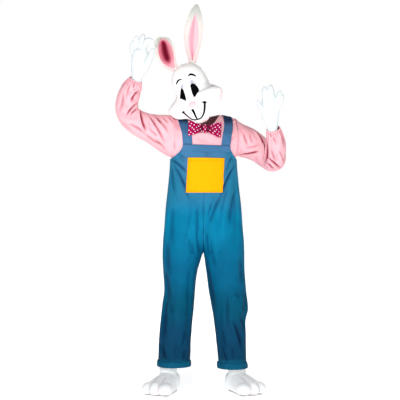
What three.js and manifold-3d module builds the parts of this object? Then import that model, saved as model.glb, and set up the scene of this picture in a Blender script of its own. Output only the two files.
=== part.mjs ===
// A rabbit costume in its worn, filled-out form: a hollow rabbit head mask with two long ears, a pink
// long-sleeved shirt, blue bib-and-brace overalls with a yellow patch pocket, a spotted bow tie, white
// gloves and white three-toed feet. Every piece of cloth is its own thin-walled solid.
// Millimetres, +Z up. The front faces -Y, and the wearer's right hand is on the -X side.
import * as THREE from 'three';
import { mergeVertices } from 'three/addons/utils/BufferGeometryUtils.js';
import Module from 'manifold-3d';

// ---- driving dimensions ----
const HOLD_HEIGHT = 1420;      // the shoulder line, where the wearer carries the costume, above the floor
const CLOTH = 2;               // wall of shirt and overalls cloth
const SEAM_GAP = 0.4;          // between two panels along a seam
const CENTRE_SHIFT = 0.2;      // each half of the overalls keeps this far from the centre plane
const CROTCH_Z = 724;          // lowest point of the crotch seam
const RISE = 220;              // the crotch seam curves up to the centre front and back over this height
const BIB_TOP_Z = 1274;
const BACK_TOP_Z = 1262;
const ARMHOLE_LOW_Z = 1204;    // top of the overalls' side seams
const BIB_HALF_WIDTH = 123;
const BACK_HALF_WIDTH = 112;
const CHEST_YAW_DEG = 10;      // the chest is turned towards the wearer's right arm
const SHOULDER_SLOPE = 0.04;   // and that shoulder is raised
const STRAP_HALF_WIDTH = 24;
const POCKET = { halfWidth: 93, low: 1031, high: 1208, lift: 1.3 };
const ARMHOLE = { x: 166, z: 1318, halfHeight: 107, halfDepth: 86 };
const HEAD = { x: -70, y: -82, z: 1596, rollDeg: -25, pitchDeg: 6, yawDeg: -16 };
const MASK_WALL = 3;
const EAR_WALL = 6;

const COLOURS = {
  shirtPink: { color: 0xf9b4c2, roughness: 0.8 },
  overallsBlue: { color: 0x1f6f97, roughness: 0.75 },
  patchYellow: { color: 0xffc400, roughness: 0.7 },
  maskWhite: { color: 0xf4f3f1, roughness: 0.55 },
  earPink: { color: 0xf2a0ae, roughness: 0.7 },
  nosePink: { color: 0xf3b9bd, roughness: 0.5 },
  eyeBlack: { color: 0x0b0b12, roughness: 0.4 },
  bowMagenta: { color: 0xc4105c, roughness: 0.6 },
  gloveWhite: { color: 0xf3f6f6, roughness: 0.8 },
  footWhite: { color: 0xeeecec, roughness: 0.85 },
};

// ---- small helpers ----
const wasm = await Module();
wasm.setup();
const root = new THREE.Group();
const V = (x, y, z) => new THREE.Vector3(x, y, z);
const radians = THREE.MathUtils.degToRad;
const { lerp, clamp, smoothstep } = THREE.MathUtils;

// A smooth curve through one column of a table whose rows are in order of the key column.
function column(table, key, name) {
  const x = table.map((row) => row[key]);
  const y = table.map((row) => row[name]);
  const last = x.length - 1;
  const slope = x.map((_, i) => {
    const a = Math.max(i - 1, 0);
    const b = Math.min(i + 1, last);
    return (y[b] - y[a]) / (x[b] - x[a]);
  });
  return (at) => {
    if (at <= x[0]) return y[0] + slope[0] * (at - x[0]);
    if (at >= x[last]) return y[last] + slope[last] * (at - x[last]);
    let i = 0;
    while (at > x[i + 1]) i += 1;
    const h = x[i + 1] - x[i];
    const t = (at - x[i]) / h;
    const t2 = t * t;
    const t3 = t2 * t;
    return (2 * t3 - 3 * t2 + 1) * y[i] + (t3 - 2 * t2 + t) * h * slope[i]
      + (3 * t2 - 2 * t3) * y[i + 1] + (t3 - t2) * h * slope[i + 1];
  };
}

function columns(table, key, names) {
  return Object.fromEntries(names.map((name) => [name, column(table, key, name)]));
}

// The unit normal of a surface f(u, v), by small steps each way; out is +1 or -1.
function normalAt(f, u, v, out) {
  const step = 1e-3;
  const du = f(u + step, v).sub(f(u - step, v));
  const dv = f(u, v + step).sub(f(u, v - step));
  return du.cross(dv).normalize().multiplyScalar(out);
}

// The surface f moved out along its normal.
function lifted(f, distance, out) {
  return (u, v) => f(u, v).addScaledVector(normalAt(f, u, v, out), distance);
}

function signedVolume(points, faces) {
  return faces.reduce((sum, [a, b, c]) => sum + points[a].dot(points[b].clone().cross(points[c])), 0);
}

function geometryOf(points, faces) {
  const ordered = signedVolume(points, faces) < 0 ? faces.map(([a, b, c]) => [a, c, b]) : faces;
  const geometry = new THREE.BufferGeometry();
  geometry.setAttribute('position', new THREE.Float32BufferAttribute(points.flatMap((p) => p.toArray()), 3));
  geometry.setIndex(ordered.flat());
  return geometry;
}

// A cloth wall: a grid of outer points on f(u, v), and the same grid moved in by the thickness.
// A closed wall is a tube round u. An open one ends half a seam gap short of each side.
function wall(f, { across, up, thickness = CLOTH, out = 1, closed = false, gap = SEAM_GAP, rows }) {
  const vs = rows ?? Array.from({ length: up + 1 }, (_, j) => j / up);
  const wide = closed ? across : across + 1;
  const points = [];
  for (const layer of [0, 1]) {
    for (const v of vs) {
      const start = closed ? 0 : gap / 2 / speedAt(f, 0, v);
      const end = closed ? 1 : 1 - gap / 2 / speedAt(f, 1, v);
      for (let i = 0; i < wide; i += 1) {
        const u = lerp(start, end, i / across);
        const p = f(u, v);
        if (layer) p.addScaledVector(normalAt(f, u, v, out), -thickness);
        points.push(p);
      }
    }
  }
  const count = vs.length;
  const id = (layer, j, i) => (layer * count + j) * wide + (i % wide);
  const faces = [];
  const quad = (a, b, c, d) => faces.push([a, b, c], [a, c, d]);
  const span = (a, b) => points[a].distanceTo(points[b]);
  for (let j = 0; j < count - 1; j += 1) {
    for (let i = 0; i < across; i += 1) {
      // both layers are split along the outer layer's shorter diagonal
      const cell = (layer) => [
        id(layer, j, i), id(layer, j, i + 1), id(layer, j + 1, i + 1), id(layer, j + 1, i),
      ];
      const [a, b, c, d] = cell(0);
      const [ia, ib, ic, ie] = cell(1);
      if (span(a, c) < span(b, d)) {
        quad(a, b, c, d);
        faces.push([ia, ic, ib], [ia, ie, ic]);
      } else {
        quad(b, c, d, a);
        faces.push([ib, ie, ic], [ib, ia, ie]);
      }
    }
    if (closed) continue;
    quad(id(0, j, 0), id(0, j + 1, 0), id(1, j + 1, 0), id(1, j, 0));
    quad(id(0, j, across), id(1, j, across), id(1, j + 1, across), id(0, j + 1, across));
  }
  const top = count - 1;
  for (let i = 0; i < across; i += 1) {
    quad(id(0, 0, i), id(1, 0, i), id(1, 0, i + 1), id(0, 0, i + 1));
    quad(id(0, top, i), id(0, top, i + 1), id(1, top, i + 1), id(1, top, i));
  }
  return geometryOf(points, faces);
}

// How far a step in u moves along a surface's edge.
function speedAt(f, u, v) {
  return Math.max(f(u + 1e-3, v).distanceTo(f(u - 1e-3, v)) / 2e-3, 1);
}

// A closed skin through rings of equal count, from a first pole point to a last one.
function skin(first, rings, last) {
  const sides = rings[0].length;
  const points = [first, ...rings.flat(), last];
  const id = (j, i) => 1 + j * sides + (i % sides);
  const end = points.length - 1;
  const faces = [];
  for (let i = 0; i < sides; i += 1) {
    faces.push([0, id(0, i + 1), id(0, i)]);
    for (let j = 0; j < rings.length - 1; j += 1) {
      faces.push([id(j, i), id(j, i + 1), id(j + 1, i + 1)], [id(j, i), id(j + 1, i + 1), id(j + 1, i)]);
    }
    faces.push([end, id(rings.length - 1, i), id(rings.length - 1, i + 1)]);
  }
  return geometryOf(points, faces);
}

function piece(name, geometry, look) {
  const mesh = new THREE.Mesh(geometry, new THREE.MeshStandardMaterial({ metalness: 0, ...look }));
  mesh.name = name;
  root.add(mesh);
  return mesh;
}

// ---- boolean joins and cuts ----
function solidOf(geometry) {
  const bare = geometry.clone();
  bare.deleteAttribute('normal');
  bare.deleteAttribute('uv');
  const merged = mergeVertices(bare, 1e-4);
  return new wasm.Manifold(new wasm.Mesh({
    numProp: 3,
    vertProperties: new Float32Array(merged.attributes.position.array),
    triVerts: new Uint32Array(merged.index.array),
  }));
}

function geometryFrom(solid) {
  const mesh = solid.getMesh();
  const geometry = new THREE.BufferGeometry();
  geometry.setAttribute('position', new THREE.Float32BufferAttribute(mesh.vertProperties, 3));
  geometry.setIndex(Array.from(mesh.triVerts));
  return geometry;
}

const joined = (solids) => solids.reduce((sum, next) => sum.add(next));

// A solid limb round a line of stations, each { at, wide, deep }: wide is the half width along the side
// direction, deep the half depth square to it. Both ends are rounded off by a pole.
function limb(stations, side, sides, cap = 0.6) {
  const count = stations.length;
  const along = (i) => stations[Math.min(i + 1, count - 1)].at.clone()
    .sub(stations[Math.max(i - 1, 0)].at).normalize();
  const rings = stations.map((station, i) => {
    const forward = along(i);
    const across = side.clone().addScaledVector(forward, -side.dot(forward)).normalize();
    const through = forward.clone().cross(across);
    return Array.from({ length: sides }, (_, k) => {
      const angle = (k / sides) * 2 * Math.PI;
      return station.at.clone()
        .addScaledVector(across, station.wide * Math.cos(angle))
        .addScaledVector(through, station.deep * Math.sin(angle));
    });
  });
  const pole = (i, way) => stations[i].at.clone()
    .addScaledVector(along(i), way * cap * Math.min(stations[i].wide, stations[i].deep));
  return skin(pole(0, -1), rings, pole(count - 1, 1));
}

// ---- the turn of the chest and the slope of the shoulders ----
function posed(p) {
  const yaw = radians(CHEST_YAW_DEG) * smoothstep(p.z, 900, 1360);
  const x = p.x * Math.cos(yaw) - p.y * Math.sin(yaw);
  const y = p.x * Math.sin(yaw) + p.y * Math.cos(yaw);
  const z = p.z - SHOULDER_SLOPE * p.x * smoothstep(p.z, 1100, 1400);
  return V(x, y, z);
}

// ---- shirt ----
// Level rings from the tucked-in hem to the neck edge: half width, and depth to the front and back.
const SHIRT = [
  { z: 900, wide: 180, front: 104, back: 104 },
  { z: 1000, wide: 174, front: 106, back: 100 },
  { z: 1100, wide: 166, front: 110, back: 100 },
  { z: 1160, wide: 164, front: 113, back: 103 },
  { z: 1211, wide: 166, front: 116, back: 105 },
  { z: 1274, wide: 166, front: 113, back: 105 },
  { z: 1330, wide: 166, front: 108, back: 103 },
  { z: 1380, wide: 166, front: 100, back: 97 },
  { z: 1410, wide: 166, front: 94, back: 90 },
  { z: 1425, wide: 166, front: 90, back: 84 },
  { z: 1431, wide: 130, front: 89, back: 78 },
  { z: 1437, wide: 96, front: 87, back: 70 },
  { z: 1440, wide: 78, front: 86, back: 66 },
];
const SHIRT_ROWS = [
  900, 1010, 1120, 1211, 1216, 1232, 1256, 1280, 1310, 1342,
  1375, 1402, 1417, 1425, 1427.5, 1430, 1433, 1436.5, 1440,
];
const DIP = { from: 1330, front: 0.62, back: 0.1 };  // how far the neck edge drops in front and behind
const shirt = columns(SHIRT, 'z', ['front', 'back']);
const wideBelow = column(SHIRT.slice(0, 5), 'z', 'wide');
const wideAtNeck = column(SHIRT.slice(-4), 'z', 'wide');

// The angle from the middle of the front or back at which a panel meets the armhole or side seam. The
// armhole is an ellipse in a plane beside the chest.
function shirtEnd(face, z) {
  const t = clamp((z - ARMHOLE.z) / ARMHOLE.halfHeight, -1, 1);
  const seamDepth = ARMHOLE.halfDepth * Math.sqrt(1 - t * t);
  return Math.acos(Math.min(seamDepth / (face < 0 ? shirt.front(z) : shirt.back(z)), 0.95));
}

function shirtWide(face, z) {
  if (z <= ARMHOLE.z - ARMHOLE.halfHeight) return wideBelow(z);
  if (z >= ARMHOLE.z + ARMHOLE.halfHeight) return wideAtNeck(z);
  return ARMHOLE.x / Math.sin(shirtEnd(face, z));
}

// A place on the shirt, by its angle round from the middle of the front or back.
function shirtAt(face, angle, z) {
  const depth = face < 0 ? shirt.front(z) : shirt.back(z);
  const drop = Math.max(0, z - DIP.from) * (face < 0 ? DIP.front : DIP.back) * Math.cos(angle) ** 2;
  return posed(V(shirtWide(face, z) * Math.sin(angle), face * depth * Math.cos(angle), z - drop));
}

for (const [face, faceName] of [[-1, 'front'], [1, 'back']]) {
  const panel = (u, z) => shirtAt(face, lerp(-1, 1, u) * shirtEnd(face, z), z);
  piece(`shirt_${faceName}`, wall(panel, { across: 12, rows: SHIRT_ROWS, out: -face }), COLOURS.shirtPink);
}

// ---- overalls ----
// Legs, from hem to crotch: distances of the inner and outer outline from the centre plane, depth to the
// front and back, and how far back the leg's middle lies.
const LEGS = {
  right: [
    { z: 131, inner: 69, outer: 238, front: 84, back: 84, middle: 14 },
    { z: 165, inner: 69, outer: 236, front: 84, back: 84, middle: 14 },
    { z: 300, inner: 63, outer: 230, front: 86, back: 86, middle: 10 },
    { z: 458, inner: 48, outer: 213, front: 90, back: 88, middle: 4 },
    { z: 525, inner: 44, outer: 204, front: 94, back: 92, middle: 2 },
    { z: 629, inner: 30, outer: 210, front: 104, back: 104, middle: 2 },
    { z: 690, inner: 12, outer: 213, front: 114, back: 114, middle: 4 },
    { z: 724, inner: 0, outer: 213, front: 118, back: 120, middle: 4 },
  ],
  left: [
    { z: 122, inner: 75, outer: 227, front: 80, back: 80, middle: 16 },
    { z: 163, inner: 76, outer: 223, front: 80, back: 80, middle: 16 },
    { z: 298, inner: 62, outer: 221, front: 84, back: 84, middle: 12 },
    { z: 370, inner: 53, outer: 220, front: 88, back: 86, middle: 8 },
    { z: 426, inner: 45, outer: 232, front: 92, back: 88, middle: 6 },
    { z: 525, inner: 27, outer: 222, front: 98, back: 94, middle: 4 },
    { z: 629, inner: 14, outer: 214, front: 106, back: 104, middle: 2 },
    { z: 690, inner: 5, outer: 213, front: 114, back: 114, middle: 4 },
    { z: 724, inner: 0, outer: 213, front: 118, back: 120, middle: 4 },
  ],
};
const LEG_COLUMNS = ['inner', 'outer', 'front', 'back', 'middle'];
const TRUNK = [
  { z: 724, wide: 213, front: 118, back: 120, middle: 4 },
  { z: 790, wide: 210, front: 122, back: 126, middle: 4 },
  { z: 863, wide: 203, front: 122, back: 126, middle: 2 },
  { z: 952, wide: 197, front: 121, back: 120, middle: 0 },
  { z: 1040, wide: 187, front: 122, back: 114, middle: 0 },
  { z: 1123, wide: 179, front: 123, back: 112, middle: 0 },
  { z: 1204, wide: 174, front: 122, back: 111, middle: 0 },
  { z: 1274, wide: 172, front: 118, back: 111, middle: 0 },
];
// Soft drag folds: each runs from a lower to an upper place, given by height and by its share of the way
// from the centre seam or inseam to the side seam. Depth is how far the trough sinks.
const FOLDS = [
  { side: -1, face: -1, z: 300, share: 0.22, toZ: 640, toShare: 0.3, width: 15, depth: 7 },
  { side: -1, face: -1, z: 180, share: 0.72, toZ: 520, toShare: 0.8, width: 16, depth: 7 },
  { side: -1, face: -1, z: 690, share: 0.35, toZ: 900, toShare: 0.16, width: 14, depth: 7 },
  { side: -1, face: -1, z: 1010, share: 0.55, toZ: 1160, toShare: 0.86, width: 13, depth: 6 },
  { side: 1, face: -1, z: 160, share: 0.2, toZ: 430, toShare: 0.3, width: 15, depth: 6 },
  { side: 1, face: -1, z: 200, share: 0.66, toZ: 460, toShare: 0.86, width: 15, depth: 7 },
  { side: 1, face: -1, z: 700, share: 0.4, toZ: 930, toShare: 0.2, width: 15, depth: 7 },
  { side: 1, face: -1, z: 760, share: 0.62, toZ: 1100, toShare: 0.7, width: 18, depth: 7 },
  { side: -1, face: 1, z: 620, share: 0.36, toZ: 860, toShare: 0.2, width: 15, depth: 7 },
  { side: 1, face: 1, z: 600, share: 0.4, toZ: 850, toShare: 0.2, width: 15, depth: 7 },
  { side: -1, face: 1, z: 220, share: 0.5, toZ: 520, toShare: 0.6, width: 16, depth: 6 },
  { side: 1, face: 1, z: 200, share: 0.45, toZ: 500, toShare: 0.55, width: 16, depth: 6 },
];
const PANEL_COLUMNS = 7;
const FOLD_END = 70;           // a fold fades out over this length at each end
const trunk = columns(TRUNK, 'z', ['front', 'back', 'middle']);
const trunkBelow = column(TRUNK.slice(0, -1), 'z', 'wide');
const legs = { [-1]: columns(LEGS.right, 'z', LEG_COLUMNS), [1]: columns(LEGS.left, 'z', LEG_COLUMNS) };

function foldDepth(side, face, share, z, arc) {
  let sunk = 0;
  for (const fold of FOLDS) {
    if (fold.side !== side || fold.face !== face) continue;
    const t = (z - fold.z) / (fold.toZ - fold.z);
    const away = (share - lerp(fold.share, fold.toShare, t)) * arc;
    const ends = smoothstep(z, fold.z - FOLD_END, fold.z + FOLD_END)
      * (1 - smoothstep(z, fold.toZ - FOLD_END, fold.toZ + FOLD_END));
    sunk += fold.depth * ends * Math.exp(-((away / fold.width) ** 2));
  }
  return sunk * smoothstep(share, 0, 0.12) * (1 - smoothstep(share, 0.86, 0.99));
}

// Above the side seams the bib follows the shirt's curve.
function trunkWide(face, z) {
  if (z <= ARMHOLE_LOW_Z) return trunkBelow(z);
  return trunkBelow(ARMHOLE_LOW_Z) + shirtWide(face, z) - ARMHOLE.x;
}

// The scooped side edge of the bib, as a distance from the centre, between the side seam and the top.
function scoop(z, topZ, topHalfWidth) {
  const t = clamp((topZ - z) / (topZ - ARMHOLE_LOW_Z), 0, 1);
  return lerp(topHalfWidth, trunkBelow(ARMHOLE_LOW_Z), t * t);
}

// A level section is an arc of an ellipse between an inner and an outer outline. Below the crotch it is
// a whole leg. Above it the inner outline passes the centre plane, which cuts the ellipse at the seam.
function overallsPoint(side, face, u, z) {
  const leg = legs[side];
  const above = z > CROTCH_Z;
  const from = above ? trunk : leg;
  const outer = above ? trunkWide(face, z) : leg.outer(z);
  const reach = clamp((z - CROTCH_Z) / RISE, 0, 1) ** 1.25;
  const inner = above ? -outer * reach : leg.inner(z);
  const centre = (inner + outer) / 2;
  const half = (outer - inner) / 2;
  const start = inner >= 0 ? -Math.PI / 2 : Math.asin(clamp(-centre / half, -1, 1));
  const top = face < 0 ? BIB_TOP_Z : BACK_TOP_Z;
  const topHalf = face < 0 ? BIB_HALF_WIDTH : BACK_HALF_WIDTH;
  const end = z <= ARMHOLE_LOW_Z ? Math.PI / 2 : Math.asin(Math.min(1, scoop(z, top, topHalf) / outer));
  const angle = lerp(start, end, u);
  const depth = face < 0 ? from.front(z) : from.back(z);
  const sunk = foldDepth(side, face, u, z, half * (end - start));
  const slope = Math.hypot(depth * Math.sin(angle), half * Math.cos(angle));
  const x = centre + half * Math.sin(angle) * (1 - (sunk * depth) / half / slope);
  const y = from.middle(z) + face * depth * Math.cos(angle) * (1 - (sunk * half) / depth / slope);
  return posed(V(side * (x + CENTRE_SHIFT), y, z));
}

const TURN_UP = { height: 31, lift: 3.0, drop: 2 };  // the folded-up cuff round each hem
const hemOf = (side) => (side < 0 ? LEGS.right : LEGS.left)[0].z;

// Rows from hem to top, closer together where the crotch seam turns.
function overallsRows(side, face) {
  const top = face < 0 ? BIB_TOP_Z : BACK_TOP_Z;
  const rows = [];
  const cuffTop = hemOf(side) + TURN_UP.height - TURN_UP.drop;
  rows.push(hemOf(side));
  for (let j = 0; j < 8; j += 1) rows.push(lerp(cuffTop, CROTCH_Z, j / 8));
  for (let j = 0; j < 5; j += 1) rows.push(CROTCH_Z + RISE * (j / 5) ** 1.8);
  for (let j = 0; j < 4; j += 1) rows.push(lerp(CROTCH_Z + RISE, ARMHOLE_LOW_Z, j / 4));
  for (const t of [0, 0.06, 0.18, 0.38, 0.66, 1]) rows.push(lerp(ARMHOLE_LOW_Z, top, t));
  return rows;
}

for (const [face, faceName] of [[-1, 'front'], [1, 'back']]) {
  for (const [side, sideName] of [[-1, 'right'], [1, 'left']]) {
    const panel = (u, z) => overallsPoint(side, face, u, z);
    piece(`overalls_${faceName}_${sideName}`, wall(panel, {
      across: PANEL_COLUMNS, rows: overallsRows(side, face), out: -side * face,
    }), COLOURS.overallsBlue);
  }
}

// The bib's front as one surface over both halves, for what is sewn on it: x across, z up.
function bibPoint(x, z) {
  const angle = Math.asin(clamp(x / trunkWide(-1, z), -1, 1));
  return posed(V(x, trunk.middle(z) - trunk.front(z) * Math.cos(angle), z));
}

const patchAt = (u, v) => bibPoint(
  lerp(-POCKET.halfWidth, POCKET.halfWidth, u), lerp(POCKET.low, POCKET.high, v));
piece('pocket', wall(lifted(patchAt, POCKET.lift + CLOTH, 1), { across: 8, up: 5, out: 1, gap: 0 }),
  COLOURS.patchYellow);

// the stitched facing along the bib's top edge
const BAND = { low: 1238, high: 1273, lift: 1.3, thickness: 1.5 };
const bandAt = (u, v) => {
  const z = lerp(BAND.low, BAND.high, v);
  const half = scoop(z, BIB_TOP_Z, BIB_HALF_WIDTH) - 1;
  return bibPoint(lerp(-half, half, u), z);
};
piece('bib_band', wall(lifted(bandAt, BAND.lift + BAND.thickness, 1), {
  across: 10, up: 2, thickness: BAND.thickness, out: 1, gap: 0,
}), COLOURS.overallsBlue);

// Turn-ups: a ring round each hem, standing a little off the leg.
for (const [side, sideName] of [[-1, 'right'], [1, 'left']]) {
  const hem = hemOf(side);
  const ring = (u, v) => {
    const turn = ((u % 1) + 1) % 1;
    const share = turn < 0.5 ? turn * 2 : 2 - turn * 2;
    const level = hem + TURN_UP.height * v - TURN_UP.drop;
    const p = overallsPoint(side, turn < 0.5 ? -1 : 1, share, level);
    const middle = legs[side];
    const centre = V(side * (middle.inner(hem) + middle.outer(hem)) / 2, middle.middle(hem), p.z);
    const away = p.clone().sub(centre);
    return p.addScaledVector(away.normalize(), TURN_UP.lift);
  };
  piece(`turn_up_${sideName}`, wall(ring, {
    across: 2 * PANEL_COLUMNS, up: 2, thickness: CLOTH, closed: true, out: side,
  }), COLOURS.overallsBlue);
}

// ---- sleeves ----
// Arm lines from the armhole to the hem: the middle of the sleeve, its half width in the plane of the
// bent arm, and its half width square to that plane.
const ARMS = {
  right: [
    { x: -205, y: -42, z: 1341, flat: 96, deep: 80 },
    { x: -255, y: -58, z: 1357, flat: 79, deep: 72 },
    { x: -300, y: -74, z: 1372, flat: 69, deep: 66 },
    { x: -344, y: -88, z: 1394, flat: 63, deep: 62 },
    { x: -377, y: -99, z: 1424, flat: 60, deep: 60 },
    { x: -391, y: -110, z: 1462, flat: 58, deep: 58 },
    { x: -386, y: -120, z: 1505, flat: 57, deep: 57 },
    { x: -371, y: -131, z: 1547, flat: 53, deep: 54 },
    { x: -354, y: -141, z: 1580, flat: 44, deep: 46 },
    { x: -343, y: -148, z: 1602, flat: 33, deep: 34 },
  ],
  left: [
    { x: 208, y: 32, z: 1300, flat: 92, deep: 80 },
    { x: 252, y: 30, z: 1280, flat: 80, deep: 72 },
    { x: 292, y: 24, z: 1254, flat: 70, deep: 66 },
    { x: 328, y: 10, z: 1222, flat: 62, deep: 61 },
    { x: 354, y: -18, z: 1200, flat: 59, deep: 58 },
    { x: 366, y: -62, z: 1206, flat: 57, deep: 56 },
    { x: 366, y: -104, z: 1242, flat: 54, deep: 55 },
    { x: 365, y: -138, z: 1283, flat: 50, deep: 51 },
    { x: 358, y: -164, z: 1320, flat: 43, deep: 44 },
    { x: 350, y: -182, z: 1352, flat: 34, deep: 35 },
  ],
};

function armholeRing(side, angle, out) {
  return posed(V(
    side * (ARMHOLE.x + out),
    ARMHOLE.halfDepth * Math.cos(angle),
    ARMHOLE.z + ARMHOLE.halfHeight * Math.sin(angle),
  ));
}

function sleeveSurface(side, table) {
  const names = ['x', 'y', 'z', 'flat', 'deep'];
  const start = posed(V(side * ARMHOLE.x, 0, ARMHOLE.z));
  const stations = [
    { x: start.x, y: start.y, z: start.z, flat: ARMHOLE.halfHeight, deep: ARMHOLE.halfDepth }, ...table,
  ].map((row, at) => ({ at, ...row }));
  const line = columns(stations, 'at', names);
  const last = stations.length - 1;
  const middle = (v) => V(line.x(v * last), line.y(v * last), line.z(v * last));
  const elbow = V(table[5].x, table[5].y, table[5].z);
  const hem = V(table[9].x, table[9].y, table[9].z);
  const square = elbow.clone().sub(start).cross(hem.clone().sub(elbow)).normalize();
  if (square.y < 0) square.negate();
  const matched = 0.16;        // the ring changes from the armhole's shape to its own over this share
  return (u, v) => {
    const angle = u * 2 * Math.PI;
    const along = middle(v + 0.01).sub(middle(v - 0.01)).normalize();
    const through = square.clone().addScaledVector(along, -square.dot(along)).normalize();
    const flat = through.clone().cross(along).normalize();
    if (side > 0) flat.negate();
    const own = middle(v)
      .addScaledVector(through, line.deep(v * last) * Math.cos(angle))
      .addScaledVector(flat, line.flat(v * last) * Math.sin(angle));
    const seam = armholeRing(side, angle, 1 + 120 * v);
    return seam.lerp(own, smoothstep(v, -0.001, matched));
  };
}

for (const [side, sideName] of [[-1, 'right'], [1, 'left']]) {
  piece(`sleeve_${sideName}`, wall(sleeveSurface(side, ARMS[sideName]), {
    across: 16, up: 16, closed: true, out: side,
  }), COLOURS.shirtPink);
}

// ---- straps ----
// Each strap lies on the shirt from the bib, over the shoulder, to the back of the overalls.
const STRAP_LIFT = 2.3;
const STRAP_AT = { bib: 98, shoulder: 121 };   // middle of the strap from the centre

// The level of the ring that reaches a distance from the centre at the shoulder line.
function shoulderLevel(x) {
  let low = ARMHOLE.z + ARMHOLE.halfHeight;
  let high = SHIRT[SHIRT.length - 1].z;
  for (let step = 0; step < 20; step += 1) {
    const z = (low + high) / 2;
    if (wideAtNeck(z) > Math.abs(x)) low = z;
    else high = z;
  }
  return low;
}

function strapSurface(side) {
  return (u, v) => {
    const along = 1 - 2 * v;
    const middle = side * lerp(STRAP_AT.bib, STRAP_AT.shoulder, 1 - along ** 2);
    const x = middle + lerp(-1, 1, u) * STRAP_HALF_WIDTH;
    const face = v < 0.5 ? -1 : 1;
    const top = shoulderLevel(x);
    const low = face < 0 ? BIB_TOP_Z + 1.2 : BACK_TOP_Z + 2;
    const z = top - (top - low) * Math.abs(along) ** 2.4;
    return shirtAt(face, Math.asin(clamp(x / shirtWide(face, z), -1, 1)), z);
  };
}

for (const [side, sideName] of [[-1, 'right'], [1, 'left']]) {
  piece(`strap_${sideName}`, wall(lifted(strapSurface(side), STRAP_LIFT + CLOTH, 1), {
    across: 3, up: 22, out: 1, gap: 0,
  }), COLOURS.overallsBlue);
}

// ---- head mask ----
// Level rings in the head's own frame, from the open neck edge up: half width, depth to front and back,
// how far the muzzle stands forward and the cheeks stand out.
const MASK = [
  { z: -212, wide: 58, front: 70, back: 74, muzzle: 4, cheek: 0 },
  { z: -203, wide: 61, front: 76, back: 78, muzzle: 30, cheek: 0 },
  { z: -186, wide: 66, front: 84, back: 83, muzzle: 54, cheek: 10 },
  { z: -165, wide: 70, front: 91, back: 87, muzzle: 60, cheek: 36 },
  { z: -140, wide: 75, front: 95, back: 92, muzzle: 58, cheek: 66 },
  { z: -112, wide: 81, front: 98, back: 98, muzzle: 52, cheek: 79 },
  { z: -90, wide: 85, front: 99, back: 102, muzzle: 34, cheek: 78 },
  { z: -72, wide: 88, front: 100, back: 105, muzzle: 17, cheek: 58 },
  { z: -54, wide: 90, front: 100, back: 108, muzzle: 6, cheek: 24 },
  { z: -36, wide: 91, front: 99, back: 110, muzzle: 0, cheek: 2 },
  { z: 0, wide: 91, front: 98, back: 111, muzzle: 0, cheek: 0 },
  { z: 34, wide: 86, front: 92, back: 104, muzzle: 0, cheek: 0 },
  { z: 62, wide: 73, front: 79, back: 88, muzzle: 0, cheek: 0 },
  { z: 82, wide: 54, front: 59, back: 65, muzzle: 0, cheek: 0 },
  { z: 95, wide: 29, front: 32, back: 35, muzzle: 0, cheek: 0 },
  { z: 99, wide: 8, front: 9, back: 10, muzzle: 0, cheek: 0 },
];
// The neck edge, by the turn round from the front: low under the chin, cut away at the sides, and riding
// higher over the raised shoulder.
const NECK_EDGE = [
  { turn: -180, z: -160 }, { turn: -150, z: -140 }, { turn: -120, z: -122 }, { turn: -90, z: -114 },
  { turn: -58, z: -148 }, { turn: -38, z: -166 }, { turn: -20, z: -206 }, { turn: 0, z: -212 },
  { turn: 20, z: -206 }, { turn: 38, z: -166 }, { turn: 58, z: -150 }, { turn: 90, z: -146 },
  { turn: 120, z: -150 }, { turn: 150, z: -157 }, { turn: 180, z: -160 },
];
const NECK_FROM_Z = -90;
const CROWN_Z = 100;
const MUZZLE_SPREAD = radians(30);
const CHEEK_TURN = radians(62);    // the cheeks' middle, round from the front
const CHEEK_SPREAD = radians(27);
const mask = columns(MASK, 'z', ['wide', 'front', 'back', 'muzzle', 'cheek']);
const neckEdge = column(NECK_EDGE, 'turn', 'z');
const headMatrix = new THREE.Matrix4().makeTranslation(HEAD.x, HEAD.y, HEAD.z)
  .multiply(new THREE.Matrix4().makeRotationY(radians(HEAD.rollDeg)))
  .multiply(new THREE.Matrix4().makeRotationX(radians(HEAD.pitchDeg)))
  .multiply(new THREE.Matrix4().makeRotationZ(radians(HEAD.yawDeg)));
const onHead = (p) => p.clone().applyMatrix4(headMatrix);

function maskLocal(turn, z, inset = 0) {
  const from = Math.atan2(Math.sin(turn), Math.cos(turn));
  const depth = Math.cos(from) > 0 ? mask.front(z) : mask.back(z);
  const round = 1 / Math.hypot(Math.sin(from) / mask.wide(z), Math.cos(from) / depth);
  const muzzle = Math.max(0, mask.muzzle(z)) * Math.exp(-((from / MUZZLE_SPREAD) ** 2));
  const fromCheek = (Math.abs(from) - CHEEK_TURN) / CHEEK_SPREAD;
  const cheek = Math.max(0, mask.cheek(z)) * Math.exp(-(fromCheek ** 2));
  const radius = round + muzzle + cheek - inset;
  return V(radius * Math.sin(from), -radius * Math.cos(from), z);
}

// A ring's level at a turn: the rings below the cheeks close up towards the neck edge.
function ringLevel(z, turn) {
  if (z > NECK_FROM_Z) return z;
  const low = neckEdge(THREE.MathUtils.radToDeg(Math.atan2(Math.sin(turn), Math.cos(turn))));
  return NECK_FROM_Z + ((z - NECK_FROM_Z) * (low - NECK_FROM_Z)) / (MASK[0].z - NECK_FROM_Z);
}

function maskShell() {
  const sides = 26;
  const turns = Array.from({ length: sides }, (_, k) => (k / sides) * 2 * Math.PI);
  const levels = MASK.map((row) => row.z);
  const ring = (z, inset) => turns.map((turn) => onHead(maskLocal(turn, ringLevel(z, turn), inset)));
  const outer = levels.map((z) => ring(z, 0));
  const innerLevels = levels.filter((z, j) => j < 14 && ![1, 9].includes(j));
  const inner = innerLevels.map((z) => ring(z, z > 60 ? MASK_WALL + 3 : MASK_WALL));
  const outside = [...outer].reverse();
  return skin(onHead(V(0, 0, CROWN_Z)), [...outside, ...inner], onHead(V(0, 0, 82 + 6)));
}
piece('mask', maskShell(), COLOURS.maskWhite);

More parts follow.
